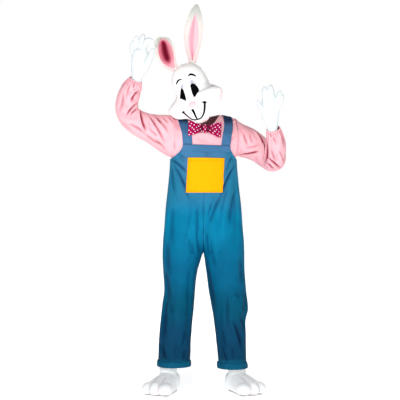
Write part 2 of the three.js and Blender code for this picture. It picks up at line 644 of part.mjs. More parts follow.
// A patch that lies on the mask, given by its middle, its half sizes, and its outline's half width by height.
function maskPatch({ x, z, halfWidth, halfHeight, outline, lift, thickness, across, up }) {
  const f = (u, v) => {
    const height = lerp(-1, 1, v);
    const level = z + height * halfHeight;
    const wide = halfWidth * outline(height);
    const radius = Math.abs(maskLocal(Math.asin(clamp(x / 100, -1, 1)), level).y);
    const turn = Math.atan2(x + lerp(-1, 1, u) * wide, radius);
    return onHead(maskLocal(turn, level));
  };
  return wall(lifted(f, lift + thickness, 1), { across, up, thickness, out: 1, gap: 0 });
}

const EYE = { x: 33, z: -38, halfWidth: 17, halfHeight: 34 };
function eyeOutline(h) {
  const round = Math.sqrt(Math.max(0, 1 - (h * 0.98) ** 2));
  return Math.max(0.12, round * (h < 0 ? 1 + 0.25 * h : 1));
}
for (const [side, sideName] of [[-1, 'right'], [1, 'left']]) {
  piece(`eye_${sideName}`, maskPatch({
    ...EYE, x: side * EYE.x, outline: eyeOutline, lift: 2, thickness: 1.5, across: 4, up: 8,
  }), COLOURS.eyeBlack);
}

function noseSolid() {
  const sides = 12;
  const middle = maskLocal(0, -106);
  const ring = (share, out) => Array.from({ length: sides }, (_, k) => {
    const angle = (k / sides) * 2 * Math.PI;
    const x = 18 * share * Math.cos(angle);
    const z = -106 + 15 * share * Math.sin(angle);
    const base = maskLocal(Math.atan2(x, Math.abs(middle.y)), z);
    return onHead(base.add(V(0, -out, 0)));
  });
  const rings = [ring(0.55, 0.7), ring(1, 0.7), ring(0.9, 7), ring(0.55, 12)];
  return skin(onHead(middle.clone().add(V(0, -0.7, 0))), rings, onHead(middle.clone().add(V(0, -14, 0))));
}
piece('nose', noseSolid(), COLOURS.nosePink);

// ---- ears ----
// Each ear is a long trough along a line of stations. facing is where its inside looks, half is its half
// width, and curl is how far its edges stand forward.
const EARS = {
  left: [
    { x: -58, y: -80, z: 1695.8, fx: 0.1, fy: -1, fz: 0, half: 16, curl: 12 },
    { x: -57, y: -75, z: 1735, fx: 0.05, fy: -1, fz: 0, half: 27, curl: 17 },
    { x: -55, y: -74, z: 1780, fx: 0, fy: -1, fz: 0.02, half: 39, curl: 18 },
    { x: -52, y: -72, z: 1835, fx: 0, fy: -1, fz: 0.04, half: 47, curl: 17 },
    { x: -47, y: -69, z: 1890, fx: 0, fy: -1, fz: 0.05, half: 43, curl: 15 },
    { x: -42, y: -64, z: 1940, fx: 0, fy: -1, fz: 0.06, half: 32, curl: 12 },
    { x: -38, y: -58, z: 1978, fx: 0, fy: -1, fz: 0.08, half: 18, curl: 7 },
    { x: -36, y: -54, z: 2001, fx: 0, fy: -1, fz: 0.1, half: 3, curl: 1 },
  ],
  right: [
    { x: -141, y: -86, z: 1665.6, fx: -0.25, fy: -1, fz: -0.1, half: 16, curl: 12 },
    { x: -160, y: -85, z: 1683, fx: -0.25, fy: -1, fz: -0.1, half: 28, curl: 17 },
    { x: -177, y: -92, z: 1708, fx: -0.2, fy: -1, fz: -0.15, half: 42, curl: 22 },
    { x: -189, y: -103, z: 1742, fx: -0.15, fy: -1, fz: -0.25, half: 48, curl: 24 },
    { x: -197, y: -115, z: 1778, fx: -0.15, fy: -0.95, fz: -0.45, half: 48, curl: 20 },
    { x: -206, y: -136, z: 1804, fx: -0.15, fy: -0.75, fz: -0.75, half: 42, curl: 13 },
    { x: -221, y: -157, z: 1808, fx: -0.25, fy: -0.55, fz: -0.85, half: 28, curl: 7 },
    { x: -236, y: -170, z: 1792, fx: -0.35, fy: -0.5, fz: -0.8, half: 12, curl: 3 },
    { x: -243, y: -175, z: 1778, fx: -0.35, fy: -0.5, fz: -0.8, half: 4, curl: 1 },
  ],
};
const EAR_COLUMNS = ['x', 'y', 'z', 'fx', 'fy', 'fz', 'half', 'curl'];

function earSurface(table, share = 1) {
  const stations = table.map((row, at) => ({ at, ...row }));
  const line = columns(stations, 'at', EAR_COLUMNS);
  const last = stations.length - 1;
  const middle = (t) => V(line.x(t), line.y(t), line.z(t));
  return (u, v) => {
    const t = v * last;
    const along = middle(t + 0.05).sub(middle(t - 0.05)).normalize();
    const facing = V(line.fx(t), line.fy(t), line.fz(t));
    const across = along.clone().cross(facing).normalize();
    const forward = across.clone().cross(along).normalize();
    const s = lerp(-1, 1, u) * share;
    return middle(t)
      .addScaledVector(across, s * Math.max(line.half(t), 1))
      .addScaledVector(forward, line.curl(t) * s * s);
  };
}

// The pink inside is narrower than the ear, and narrows to points at both ends.
const INNER_EAR = { from: 0.05, share: 0.62, lift: 2.8, thickness: 1.4, to: { left: 0.82, right: 0.7 } };
function innerEarSurface(sideName) {
  const whole = earSurface(EARS[sideName]);
  return (u, v) => {
    const round = Math.sin(Math.PI * clamp(0.08 + 0.9 * v, 0, 1)) ** 0.6;
    const share = INNER_EAR.share * Math.max(0.12, round);
    return whole(0.5 + (u - 0.5) * share, lerp(INNER_EAR.from, INNER_EAR.to[sideName], v));
  };
}

for (const sideName of ['right', 'left']) {
  piece(`ear_${sideName}`, wall(earSurface(EARS[sideName]), {
    across: 6, up: 14, thickness: EAR_WALL, out: 1, gap: 0,
  }), COLOURS.maskWhite);
  piece(`ear_lining_${sideName}`, wall(lifted(innerEarSurface(sideName), INNER_EAR.lift, 1), {
    across: 4, up: 10, thickness: INNER_EAR.thickness, out: 1, gap: 0,
  }), COLOURS.earPink);
}

// ---- bow tie ----
const BOW = { x: 6, y: -116.5, z: 1357, tiltDeg: 3, yawDeg: 9 };
const WING = [
  { out: 11, high: 17, low: 17, deep: 7 },
  { out: 26, high: 21, low: 21, deep: 10 },
  { out: 46, high: 28, low: 30, deep: 11 },
  { out: 66, high: 34, low: 38, deep: 10 },
  { out: 82, high: 37, low: 42, deep: 5 },
];
function bowPlace(p) {
  return p.applyAxisAngle(V(0, 1, 0), radians(BOW.tiltDeg)).applyAxisAngle(V(0, 0, 1), radians(BOW.yawDeg))
    .add(V(BOW.x, BOW.y, BOW.z));
}
for (const [side, sideName] of [[-1, 'right'], [1, 'left']]) {
  const sides = 14;
  const rings = WING.map((row) => Array.from({ length: sides }, (_, k) => {
    const angle = (k / sides) * 2 * Math.PI;
    const up = Math.sin(angle);
    const pleat = 1 - 0.3 * Math.cos(angle * 6) * (1 - row.out / 100);
    const tall = up > 0 ? row.high : row.low;
    return bowPlace(V(side * row.out, -row.deep * Math.cos(angle) * pleat, up * tall));
  }));
  const edge = bowPlace(V(side * 84, 0, -2));
  piece(`bow_${sideName}`, skin(bowPlace(V(side * 10.5, 0, 0)), rings, edge), COLOURS.bowMagenta);
}
{
  const sides = 10;
  const knot = [[-19, 8, 10], [-12, 10.1, 13], [0, 10.1, 14], [12, 10.1, 13], [19, 8, 10]];
  const rings = knot.map(([z, wide, deep]) => Array.from({ length: sides }, (_, k) => {
    const angle = (k / sides) * 2 * Math.PI;
    return bowPlace(V(wide * Math.cos(angle), deep * Math.sin(angle), z));
  }));
  piece('bow_knot', skin(bowPlace(V(0, 0, -21)), rings, bowPlace(V(0, 0, 21))), COLOURS.bowMagenta);
}

// ---- gloves ----
// Stations of each glove part: place, half width and half depth. The palm starts inside the sleeve.
const GLOVE_WALL = 1.8;
const SIDE_X = V(1, 0, 0);
const SIDE_Y = V(0, 1, 0);
function station(x, y, z, wide, deep = wide) {
  return { at: V(x, y, z), wide, deep };
}

const GLOVES = {
  left: {
    palm: [
      { x: 350, y: -174, z: 1328, wide: 26, deep: 26 },
      { x: 345.2, y: -188.7, z: 1356, wide: 27, deep: 26 },
      { x: 341, y: -196, z: 1382, wide: 35, deep: 25 },
      { x: 335, y: -200, z: 1412, wide: 44, deep: 24 },
      { x: 334, y: -202, z: 1446, wide: 46, deep: 22 },
      { x: 336, y: -202, z: 1480, wide: 42, deep: 19 },
    ],
    digits: [
      [
        { x: 322, y: -203, z: 1404, wide: 18, deep: 18 },
        { x: 298, y: -208, z: 1440, wide: 15, deep: 15 },
        { x: 280, y: -212, z: 1466, wide: 13, deep: 13 },
        { x: 273, y: -214, z: 1482, wide: 10, deep: 10 },
      ],
      [
        { x: 312, y: -202, z: 1462, wide: 17, deep: 17 },
        { x: 308, y: -204, z: 1500, wide: 17, deep: 17 },
        { x: 306, y: -206, z: 1532, wide: 16, deep: 16 },
        { x: 306, y: -207, z: 1550, wide: 12, deep: 12 },
      ],
      [
        { x: 338, y: -202, z: 1466, wide: 17, deep: 17 },
        { x: 340, y: -204, z: 1506, wide: 17, deep: 17 },
        { x: 337, y: -206, z: 1542, wide: 16, deep: 16 },
        { x: 335, y: -207, z: 1558, wide: 12, deep: 12 },
      ],
      [
        { x: 358, y: -202, z: 1458, wide: 15, deep: 15 },
        { x: 368, y: -204, z: 1488, wide: 15, deep: 15 },
        { x: 377, y: -206, z: 1514, wide: 14, deep: 14 },
        { x: 381, y: -207, z: 1530, wide: 11, deep: 11 },
      ],
      [
        { x: 362, y: -204, z: 1440, wide: 14, deep: 14 },
        { x: 379, y: -207, z: 1470, wide: 13, deep: 13 },
        { x: 388, y: -209, z: 1494, wide: 12, deep: 12 },
        { x: 392, y: -210, z: 1511, wide: 10, deep: 10 },
      ],
    ],
  },
  right: {
    palm: [
      { x: -350, y: -143, z: 1574, wide: 27, deep: 27 },
      { x: -340, y: -149, z: 1606, wide: 28, deep: 26 },
      { x: -333, y: -152, z: 1634, wide: 34, deep: 26 },
      { x: -326, y: -154, z: 1668, wide: 42, deep: 25 },
      { x: -321, y: -156, z: 1704, wide: 44, deep: 24 },
      { x: -318, y: -156, z: 1738, wide: 40, deep: 22 },
    ],
    digits: [
      [
        { x: -304, y: -160, z: 1654, wide: 24, deep: 24 },
        { x: -282, y: -168, z: 1688, wide: 20, deep: 20 },
        { x: -265, y: -174, z: 1722, wide: 15, deep: 15 },
        { x: -256, y: -178, z: 1746, wide: 12, deep: 12 },
      ],
      [
        { x: -306, y: -156, z: 1740, wide: 16, deep: 16 },
        { x: -298, y: -163, z: 1774, wide: 15, deep: 15 },
        { x: -280, y: -171, z: 1797, wide: 14, deep: 14 },
        { x: -264, y: -176, z: 1796, wide: 11, deep: 11 },
      ],
      [
        { x: -318, y: -154, z: 1744, wide: 16, deep: 16 },
        { x: -316, y: -154, z: 1782, wide: 16, deep: 16 },
        { x: -309, y: -156, z: 1808, wide: 15, deep: 15 },
        { x: -305, y: -160, z: 1821, wide: 11, deep: 11 },
      ],
      [
        { x: -340, y: -152, z: 1736, wide: 15, deep: 15 },
        { x: -345, y: -150, z: 1772, wide: 15, deep: 15 },
        { x: -342, y: -152, z: 1800, wide: 14, deep: 14 },
        { x: -339, y: -155, z: 1814, wide: 10, deep: 10 },
      ],
      [
        { x: -350, y: -150, z: 1716, wide: 13, deep: 13 },
        { x: -359, y: -147, z: 1746, wide: 13, deep: 13 },
        { x: -362, y: -147, z: 1772, wide: 12, deep: 12 },
        { x: -361, y: -149, z: 1788, wide: 9, deep: 9 },
      ],
    ],
  },
};

const stationsOf = (table) => table.map((row) => station(row.x, row.y, row.z, row.wide, row.deep));

// The same line of stations, smaller all round and ending shorter.
function thinner(table, by, shorten) {
  const kept = stationsOf(table).map((s) => ({ ...s, wide: s.wide - by, deep: s.deep - by }));
  const last = kept.length - 1;
  kept[last].at.lerp(kept[last - 1].at, shorten);
  return kept;
}

for (const [sideName, glove] of Object.entries(GLOVES)) {
  const outer = joined([
    solidOf(limb(stationsOf(glove.palm), SIDE_X, 12)),
    ...glove.digits.map((digit) => solidOf(limb(stationsOf(digit), SIDE_Y, 7, 0.9))),
  ]);
  const hollow = thinner(glove.palm, GLOVE_WALL, 0.1);
  const first = hollow[0];
  const below = first.at.clone().sub(hollow[1].at).normalize();
  hollow[0] = { ...first, at: first.at.clone().addScaledVector(below, 12) };
  const inner = joined([
    solidOf(limb(hollow, SIDE_X, 12)),
    ...glove.digits.map((digit) => solidOf(limb(thinner(digit, GLOVE_WALL, 0.25), SIDE_Y, 5, 0.5))),
  ]);
  const open = solidOf(limb([
    station(...first.at.clone().addScaledVector(below, 30).toArray(), first.wide - 0.2, first.deep - 0.2),
    station(...first.at.clone().addScaledVector(below, -4).toArray(), first.wide - 0.2, first.deep - 0.2),
  ], SIDE_X, 12, 0));
  piece(`glove_${sideName}`, geometryFrom(outer.subtract(joined([inner, open]))), COLOURS.gloveWhite);
}

// ---- feet ----
// A foot in its own frame: toes to -Y, sole on the floor. Sections from heel to toes.
const FOOT_SECTIONS = [
  { y: 62, wide: 20, high: 34, mid: 36 },
  { y: 52, wide: 42, high: 50, mid: 42 },
  { y: 24, wide: 52, high: 62, mid: 46 },
  { y: -22, wide: 54, high: 62, mid: 42 },
  { y: -70, wide: 64, high: 51, mid: 36 },
  { y: -118, wide: 70, high: 40, mid: 30 },
  { y: -145, wide: 58, high: 28, mid: 26 },
];
const TOES = [
  { x: -49, y: -130, wide: 28, long: 36, high: 27 },
  { x: 0, y: -148, wide: 29, long: 38, high: 29 },
  { x: 49, y: -134, wide: 28, long: 36, high: 27 },
];
const FEET = {
  right: { x: -180, y: 0, turnDeg: -24, ankle: [[-184, 8, 92], [-184, 10, 130], [-187, 12, 176]] },
  left: { x: 173, y: 4, turnDeg: 30, ankle: [[174, 10, 92], [174, 12, 130], [174.6, 14, 176]] },
};
const ANKLE_HALF = 46;
const FOOT_WALL = 5;
const SOLE = 14;

function footSection(row, shrink) {
  return station(0, row.y, row.mid + shrink / 2, row.wide - shrink, row.high - shrink);
}

for (const [sideName, foot] of Object.entries(FEET)) {
  const place = new THREE.Matrix4().makeTranslation(foot.x, foot.y, 0)
    .multiply(new THREE.Matrix4().makeRotationZ(radians(foot.turnDeg)));
  const placed = (geometry) => geometry.applyMatrix4(place);
  const body = solidOf(placed(limb(FOOT_SECTIONS.map((row) => footSection(row, 0)), SIDE_X, 12, 0.5)));
  const toes = TOES.map((toe) => {
    const rows = [0.85, 0.35, -0.35, -0.85].map((t) => {
      const round = Math.sqrt(1 - t * t);
      return station(toe.x, toe.y + t * toe.long, toe.high * 0.92, toe.wide * round, toe.high * round);
    });
    return solidOf(placed(limb(rows, SIDE_X, 8, 0.4)));
  });
  const hollow = FOOT_SECTIONS.slice(1, -1).map((row) => footSection(row, 12));
  const room = solidOf(placed(limb(hollow, SIDE_X, 12, 0.3)));
  const tube = (half, low, high) => solidOf(limb([
    station(foot.ankle[0][0], foot.ankle[0][1], low, half, half),
    ...foot.ankle.map(([x, y, z]) => station(x, y, z, half, half)),
    station(foot.ankle[2][0], foot.ankle[2][1], high, half, half),
  ], SIDE_X, 12, 0));
  const aboveFloor = solidOf(new THREE.BoxGeometry(900, 900, 400).translate(0, 0, 200));
  const aboveSole = solidOf(new THREE.BoxGeometry(900, 900, 400).translate(0, 0, 200 + SOLE));
  const outer = joined([body, ...toes, tube(ANKLE_HALF, 50, 178)]).intersect(aboveFloor);
  const inner = joined([room, tube(ANKLE_HALF - FOOT_WALL, 40, 220)]);
  piece(`foot_${sideName}`, geometryFrom(outer.subtract(inner.intersect(aboveSole))), COLOURS.footWhite);
}

const held = new THREE.Group();
held.position.z = -HOLD_HEIGHT;
held.add(root);
export default held;
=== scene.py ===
"""A rabbit costume in its worn, filled-out form, dressed over its CAD frame.

Every garment piece is a thin cloth shell on the form of its CAD solid, with finer rings and creases, and
rows of stitches along its seams. The mask is a moulded white shell with a painted face. Gloves and foot
covers are soft skins.
The origin is at the shoulder line, +Z is up and the front faces -Y.
"""

import math

import bmesh
import bpy
import numpy as np
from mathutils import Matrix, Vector


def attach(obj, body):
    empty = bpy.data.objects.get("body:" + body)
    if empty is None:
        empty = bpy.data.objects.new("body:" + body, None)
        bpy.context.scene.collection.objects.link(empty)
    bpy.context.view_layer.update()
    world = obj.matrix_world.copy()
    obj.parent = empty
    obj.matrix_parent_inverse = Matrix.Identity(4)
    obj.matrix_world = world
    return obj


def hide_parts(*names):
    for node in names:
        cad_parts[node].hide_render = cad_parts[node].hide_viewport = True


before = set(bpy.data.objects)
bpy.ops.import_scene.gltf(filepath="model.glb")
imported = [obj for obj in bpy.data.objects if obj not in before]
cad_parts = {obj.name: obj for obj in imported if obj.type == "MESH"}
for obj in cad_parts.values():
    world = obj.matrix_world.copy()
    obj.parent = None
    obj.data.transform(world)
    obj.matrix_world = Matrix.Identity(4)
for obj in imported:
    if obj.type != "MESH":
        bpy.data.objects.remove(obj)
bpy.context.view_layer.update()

# ---------------------------------------------------------------- camera, floor and light
# The costume stands on a plain pale floor, in front of a long lens at about waist height, under
# soft frontal studio light.
HOLD = 1420.0  # mm from the soles to the origin
FLOOR_Z = -HOLD / 1000
CAMERA_AT = (-0.0182, -5.5, -0.427)
LENS_MM = 95.2

camera = bpy.data.objects.new("camera", bpy.data.cameras.new("camera"))
bpy.context.scene.collection.objects.link(camera)
camera.location = CAMERA_AT
camera.rotation_euler = (math.radians(90), 0, 0)
camera.data.sensor_width = 36
camera.data.lens = LENS_MM
bpy.context.scene.camera = camera
bpy.context.scene.view_settings.view_transform = "Standard"


def linear(code):
    """An sRGB hex colour as linear values."""
    parts = [int(code[i:i + 2], 16) / 255 for i in (1, 3, 5)]
    return np.array([c / 12.92 if c <= 0.04045 else ((c + 0.055) / 1.055) ** 2.4 for c in parts])


def add(tree, kind, links=None, values=None, **settings):
    """A node of a kind, with its settings, links into its inputs, and values for inputs by number."""
    node = tree.nodes.new(kind)
    for key, value in settings.items():
        if hasattr(node, key):
            setattr(node, key, value)
        else:
            node.inputs[key.replace("_", " ")].default_value = value
    for number, value in (values or {}).items():
        node.inputs[number].default_value = value
    for key, socket in (links or {}).items():
        tree.links.new(socket, node.inputs[key])
    return node


def new_material(name):
    """An empty material, its tree and its output node."""
    material = bpy.data.materials.new(name)
    material.use_nodes = True
    material.node_tree.nodes.clear()
    return material, material.node_tree, add(material.node_tree, "ShaderNodeOutputMaterial")


def plain(name, code, roughness=0.5, shine=0.2):
    """A smooth material of one colour."""
    material, tree, output = new_material(name)
    shader = add(tree, "ShaderNodeBsdfPrincipled", Base_Color=(*linear(code), 1), Roughness=roughness,
                 Specular_IOR_Level=shine)
    tree.links.new(shader.outputs[0], output.inputs[0])
    return material


def area_light(name, place, size, power, aim=(0, 0, -0.45)):
    lamp = bpy.data.objects.new(name, bpy.data.lights.new(name, "AREA"))
    lamp.data.size = size
    lamp.data.energy = power
    lamp.location = place
    lamp.visible_camera = False
    lamp.rotation_euler = (Vector(aim) - Vector(place)).to_track_quat("-Z", "Y").to_euler()
    bpy.context.scene.collection.objects.link(lamp)


area_light("key", (-0.5, -3.6, 0.9), 0.9, 72)
area_light("fill", (1.6, -3.8, -0.1), 1.6, 16)
area_light("low", (-0.2, -2.6, -1.0), 1.2, 11, (0, -0.1, -1.35))
area_light("back", (0.3, 3.6, 0.9), 2.0, 60)

FLOOR_GLOW = dict(near=0.6, far=3.0, least=0.55, most=1.0)  # m from the middle, and strength

# The backdrop is white to look at, and gives only a soft part of the light.
world = bpy.data.worlds.new("studio")
world.use_nodes = True
sky = world.node_tree
sky.nodes.clear()
seen = add(sky, "ShaderNodeBackground", Color=(1, 1, 1, 1), Strength=1.0)
glow = add(sky, "ShaderNodeBackground", Color=(1, 1, 1, 1), Strength=0.25)
which = add(sky, "ShaderNodeLightPath")
both = add(sky, "ShaderNodeMixShader",
           {0: which.outputs["Is Camera Ray"], 1: glow.outputs[0], 2: seen.outputs[0]})
add(sky, "ShaderNodeOutputWorld", {0: both.outputs[0]})
bpy.context.scene.world = world

bpy.ops.mesh.primitive_plane_add(size=60, location=(0, 0, FLOOR_Z))
floor = bpy.context.object
floor.name = "floor"
floor_white = plain("floor_white", "#F4F4F4", 0.9)
floor_tree = floor_white.node_tree
floor_shader = floor_tree.nodes["Principled BSDF"]
floor_shader.inputs["Emission Color"].default_value = (1, 1, 1, 1)
floor_place = add(floor_tree, "ShaderNodeTexCoord")
floor_away = add(floor_tree, "ShaderNodeVectorMath", {0: floor_place.outputs["Object"]}, operation="LENGTH")
floor_glow = add(floor_tree, "ShaderNodeMapRange", {0: floor_away.outputs["Value"]},
                 dict(enumerate(FLOOR_GLOW.values(), 1)))
floor_tree.links.new(floor_glow.outputs[0], floor_shader.inputs["Emission Strength"])
floor.data.materials.append(floor_white)

# ---------------------------------------------------------------- shirt
# The body of a pale pink pullover in soft cotton, a front and a back panel sewn at the sides and
# shoulders. It is tucked into the overalls, and its wide neck edge dips in front.
SOLES = np.array([0, 0, HOLD])
FACES = ((-1, "front"), (1, "back"))
SIDES = ((-1, "right"), (1, "left"))  # the wearer's
CLOTH = 2.0
SEAM_GAP = -0.3  # neighbouring edges meet in the seam, so no light shows through it


def table(names, *rows):
    """A table of named columns, as arrays."""
    return dict(zip(names.split(), np.array(rows, float).T))


def curve(rows, key, name, take=slice(None)):
    """A smooth curve through one column, straight on beyond both ends."""
    x, y = rows[key][take], rows[name][take]
    last = len(x) - 1
    before, after = np.maximum(np.arange(last + 1) - 1, 0), np.minimum(np.arange(last + 1) + 1, last)
    slope = (y[after] - y[before]) / (x[after] - x[before])

    def at(t):
        t = np.asarray(t, float)
        i = np.clip(np.searchsorted(x, t, side="left") - 1, 0, last - 1)
        h = x[i + 1] - x[i]
        s = np.clip((t - x[i]) / h, 0, 1)
        inside = ((2 * s**3 - 3 * s**2 + 1) * y[i] + (s**3 - 2 * s**2 + s) * h * slope[i]
                  + (3 * s**2 - 2 * s**3) * y[i + 1] + (s**3 - s**2) * h * slope[i + 1])
        return inside + slope[0] * np.minimum(t - x[0], 0) + slope[last] * np.maximum(t - x[last], 0)

    return at


def smooth(t, low, high):
    """0 below low, 1 above high, and a soft rise between them."""
    s = np.clip((np.asarray(t, float) - low) / (high - low), 0, 1)
    return s * s * (3 - 2 * s)


def lerp(a, b, t):
    return a + (b - a) * t


def points(x, y, z):
    return np.stack(np.broadcast_arrays(x, y, z), -1).astype(float)


def unit(v):
    return v / np.maximum(np.linalg.norm(v, axis=-1, keepdims=True), 1e-9)


def normals(f, u, v, out, step=1e-3):
    """Unit normals of a surface f(u, v); out is +1 or -1."""
    return out * unit(np.cross(f(u + step, v) - f(u - step, v), f(u, v + step) - f(u, v - step)))


CHEST_YAW = math.radians(10)
SHOULDER_SLOPE = 0.04


def posed(p):
    """The turn of the chest and the slope of the shoulders."""
    x, y, z = p[..., 0], p[..., 1], p[..., 2]
    yaw = CHEST_YAW * smooth(z, 900, 1360)
    return points(x * np.cos(yaw) - y * np.sin(yaw), x * np.sin(yaw) + y * np.cos(yaw),
                  z - SHOULDER_SLOPE * x * smooth(z, 1100, 1400))


def paint_points(mesh, colours):
    """A paint colour on each point of a mesh."""
    layer = mesh.color_attributes.new("paint", "FLOAT_COLOR", "POINT")
    rgba = np.ones((len(mesh.vertices), 4))
    rgba[:, :3] = np.asarray(colours, float).reshape(-1, 3)
    layer.data.foreach_set("color", rgba.ravel())


def mesh_object(name, verts_mm, faces, material, uv_mm=None, colours=None):
    """A smooth-shaded piece from points in mm above the floor; uv_mm is a place in mm for each point."""
    mesh = bpy.data.meshes.new(name)
    verts = np.asarray(verts_mm, float).reshape(-1, 3) / 1000 - SOLES / 1000
    mesh.from_pydata(verts.tolist(), [], [list(face) for face in faces])
    mesh.validate()
    if uv_mm is not None:
        corner = np.empty(len(mesh.loops), int)
        mesh.loops.foreach_get("vertex_index", corner)
        layer = mesh.uv_layers.new(name="mm")
        layer.data.foreach_set("uv", np.asarray(uv_mm, float).reshape(-1, 2)[corner].ravel())
    if colours is not None:
        paint_points(mesh, colours)
    mesh.polygons.foreach_set("use_smooth", [True] * len(mesh.polygons))
    mesh.materials.append(material)
    obj = bpy.data.objects.new(name, mesh)
    bpy.context.scene.collection.objects.link(obj)
    return obj


def outward(verts, faces):
    """The faces turned so that the closed mesh's normals point out."""
    tri = np.array([[f[0], f[k], f[k + 1]] for f in faces for k in range(1, len(f) - 1)])
    a, b, c = verts[tri[:, 0]], verts[tri[:, 1]], verts[tri[:, 2]]
    volume = np.einsum("ij,ij->i", a, np.cross(b, c)).sum()
    return faces if volume > 0 else [tuple(reversed(f)) for f in faces]


def grid_faces(rows, wide, closed=False, start=0, flip=False):
    """Quads over a grid of points, row by row. A closed one joins its last column to its first."""
    faces = []
    for j in range(rows - 1):
        low, high = start + j * wide, start + (j + 1) * wide
        for i in range(wide if closed else wide - 1):
            k = (i + 1) % wide
            a, b, c, d = low + i, low + k, high + k, high + i
            faces.append((a, d, c, b) if flip else (a, b, c, d))
    return faces


def shell(name, outer, inner, material, closed=False, colours=None):
    """A closed wall between two grids of points, rows by columns. A closed one is a tube."""
    rows, wide = outer.shape[:2]
    verts = np.concatenate([outer.reshape(-1, 3), inner.reshape(-1, 3)])
    shift = rows * wide
    faces = grid_faces(rows, wide, closed) + grid_faces(rows, wide, closed, shift, True)
    for i in range(wide if closed else wide - 1):
        k = (i + 1) % wide
        top = (rows - 1) * wide
        faces.append((i, i + shift, k + shift, k))
        faces.append((top + i, top + k, top + k + shift, top + i + shift))
    if not closed:
        for j in range(rows - 1):
            a, d = j * wide, (j + 1) * wide
            faces.append((a, d, d + shift, a + shift))
            a, d = a + wide - 1, d + wide - 1
            faces.append((a, a + shift, d + shift, d))
    across = np.linalg.norm(np.diff(outer, axis=1), axis=2)
    along = np.linalg.norm(np.diff(outer, axis=0), axis=2).mean(1)
    u = np.concatenate([np.zeros((rows, 1)), across.cumsum(1)], 1)
    v = np.concatenate([[0], along.cumsum()])[:, None] * np.ones((1, wide))
    uv = np.stack([u, v], -1)
    paint = None if colours is None else np.concatenate([colours, colours]).reshape(-1, 3)
    return mesh_object(name, verts, outward(verts, faces), material, np.concatenate([uv, uv]), paint)


def finish_piece(obj, node):
    """The piece stands for its CAD node and moves with the costume."""
    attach(obj, "root")
    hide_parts(node)
    return obj


def fold_painted_shade(moved, code, full=9.0):
    """Painted shade for the folds of a cloth: a multiplying colour for each point, the named colour deep in a
    fold and white outside it.
    """
    return lerp(np.ones(3), linear(code), (np.clip(-moved / full, 0, 1) ** 0.8)[..., None])


def cloth_piece(name, node, outer, inner, material, closed=False, tint=None):
    """A cloth shell. tint multiplies the cloth's colour at each point."""
    # tint is painted light: painted shade in the folds, and on the overalls a painted sheen on the bib.
    tint = np.ones(outer.shape) if tint is None else tint
    obj = finish_piece(shell(name, outer, inner, material, closed, tint), node)


CREASE = "x0 z0 x1 z1 width depth bend"


def creases(rows, x, z, tight=1.0):
    """How far a cloth is moved out at (x, z): each row is a soft trough, with a low ridge beside it,
    between two places. bend bows it sideways, and a negative depth is a ridge."""
    moved = np.zeros(np.broadcast(x, z).shape)
    for x0, z0, x1, z1, width, depth, bend in zip(*rows.values()):
        length = math.hypot(x1 - x0, z1 - z0)
        along = ((x - x0) * (x1 - x0) + (z - z0) * (z1 - z0)) / length**2
        side = ((x - x0) * (z1 - z0) - (z - z0) * (x1 - x0)) / length
        side = side - bend * 4 * np.clip(along, 0, 1) * (1 - np.clip(along, 0, 1))
        ends = smooth(along, -0.06, 0.28) * (1 - smooth(along, 0.66, 1.06))
        narrow = tight * width * (0.75 + 0.5 * np.clip(along, 0, 1))
        trough = np.exp(-((side / narrow) ** 2))
        ridge = 0.5 * np.exp(-(((side - 1.7 * narrow) / (1.1 * narrow)) ** 2))
        moved -= depth * ends * (trough - ridge)
    return moved


def ripple(x, z, size, seed):
    """Soft unevenness between -1 and 1, from a few crossing waves of about that size in mm."""
    draw = np.random.default_rng(seed)
    total = np.zeros(np.broadcast(x, z).shape)
    for _ in range(7):
        angle, phase = draw.uniform(0, 2 * math.pi, 2)
        pitch = size * draw.uniform(0.7, 1.6)
        total += np.sin((x * math.cos(angle) + z * math.sin(angle)) * 2 * math.pi / pitch + phase)
    return total / 4


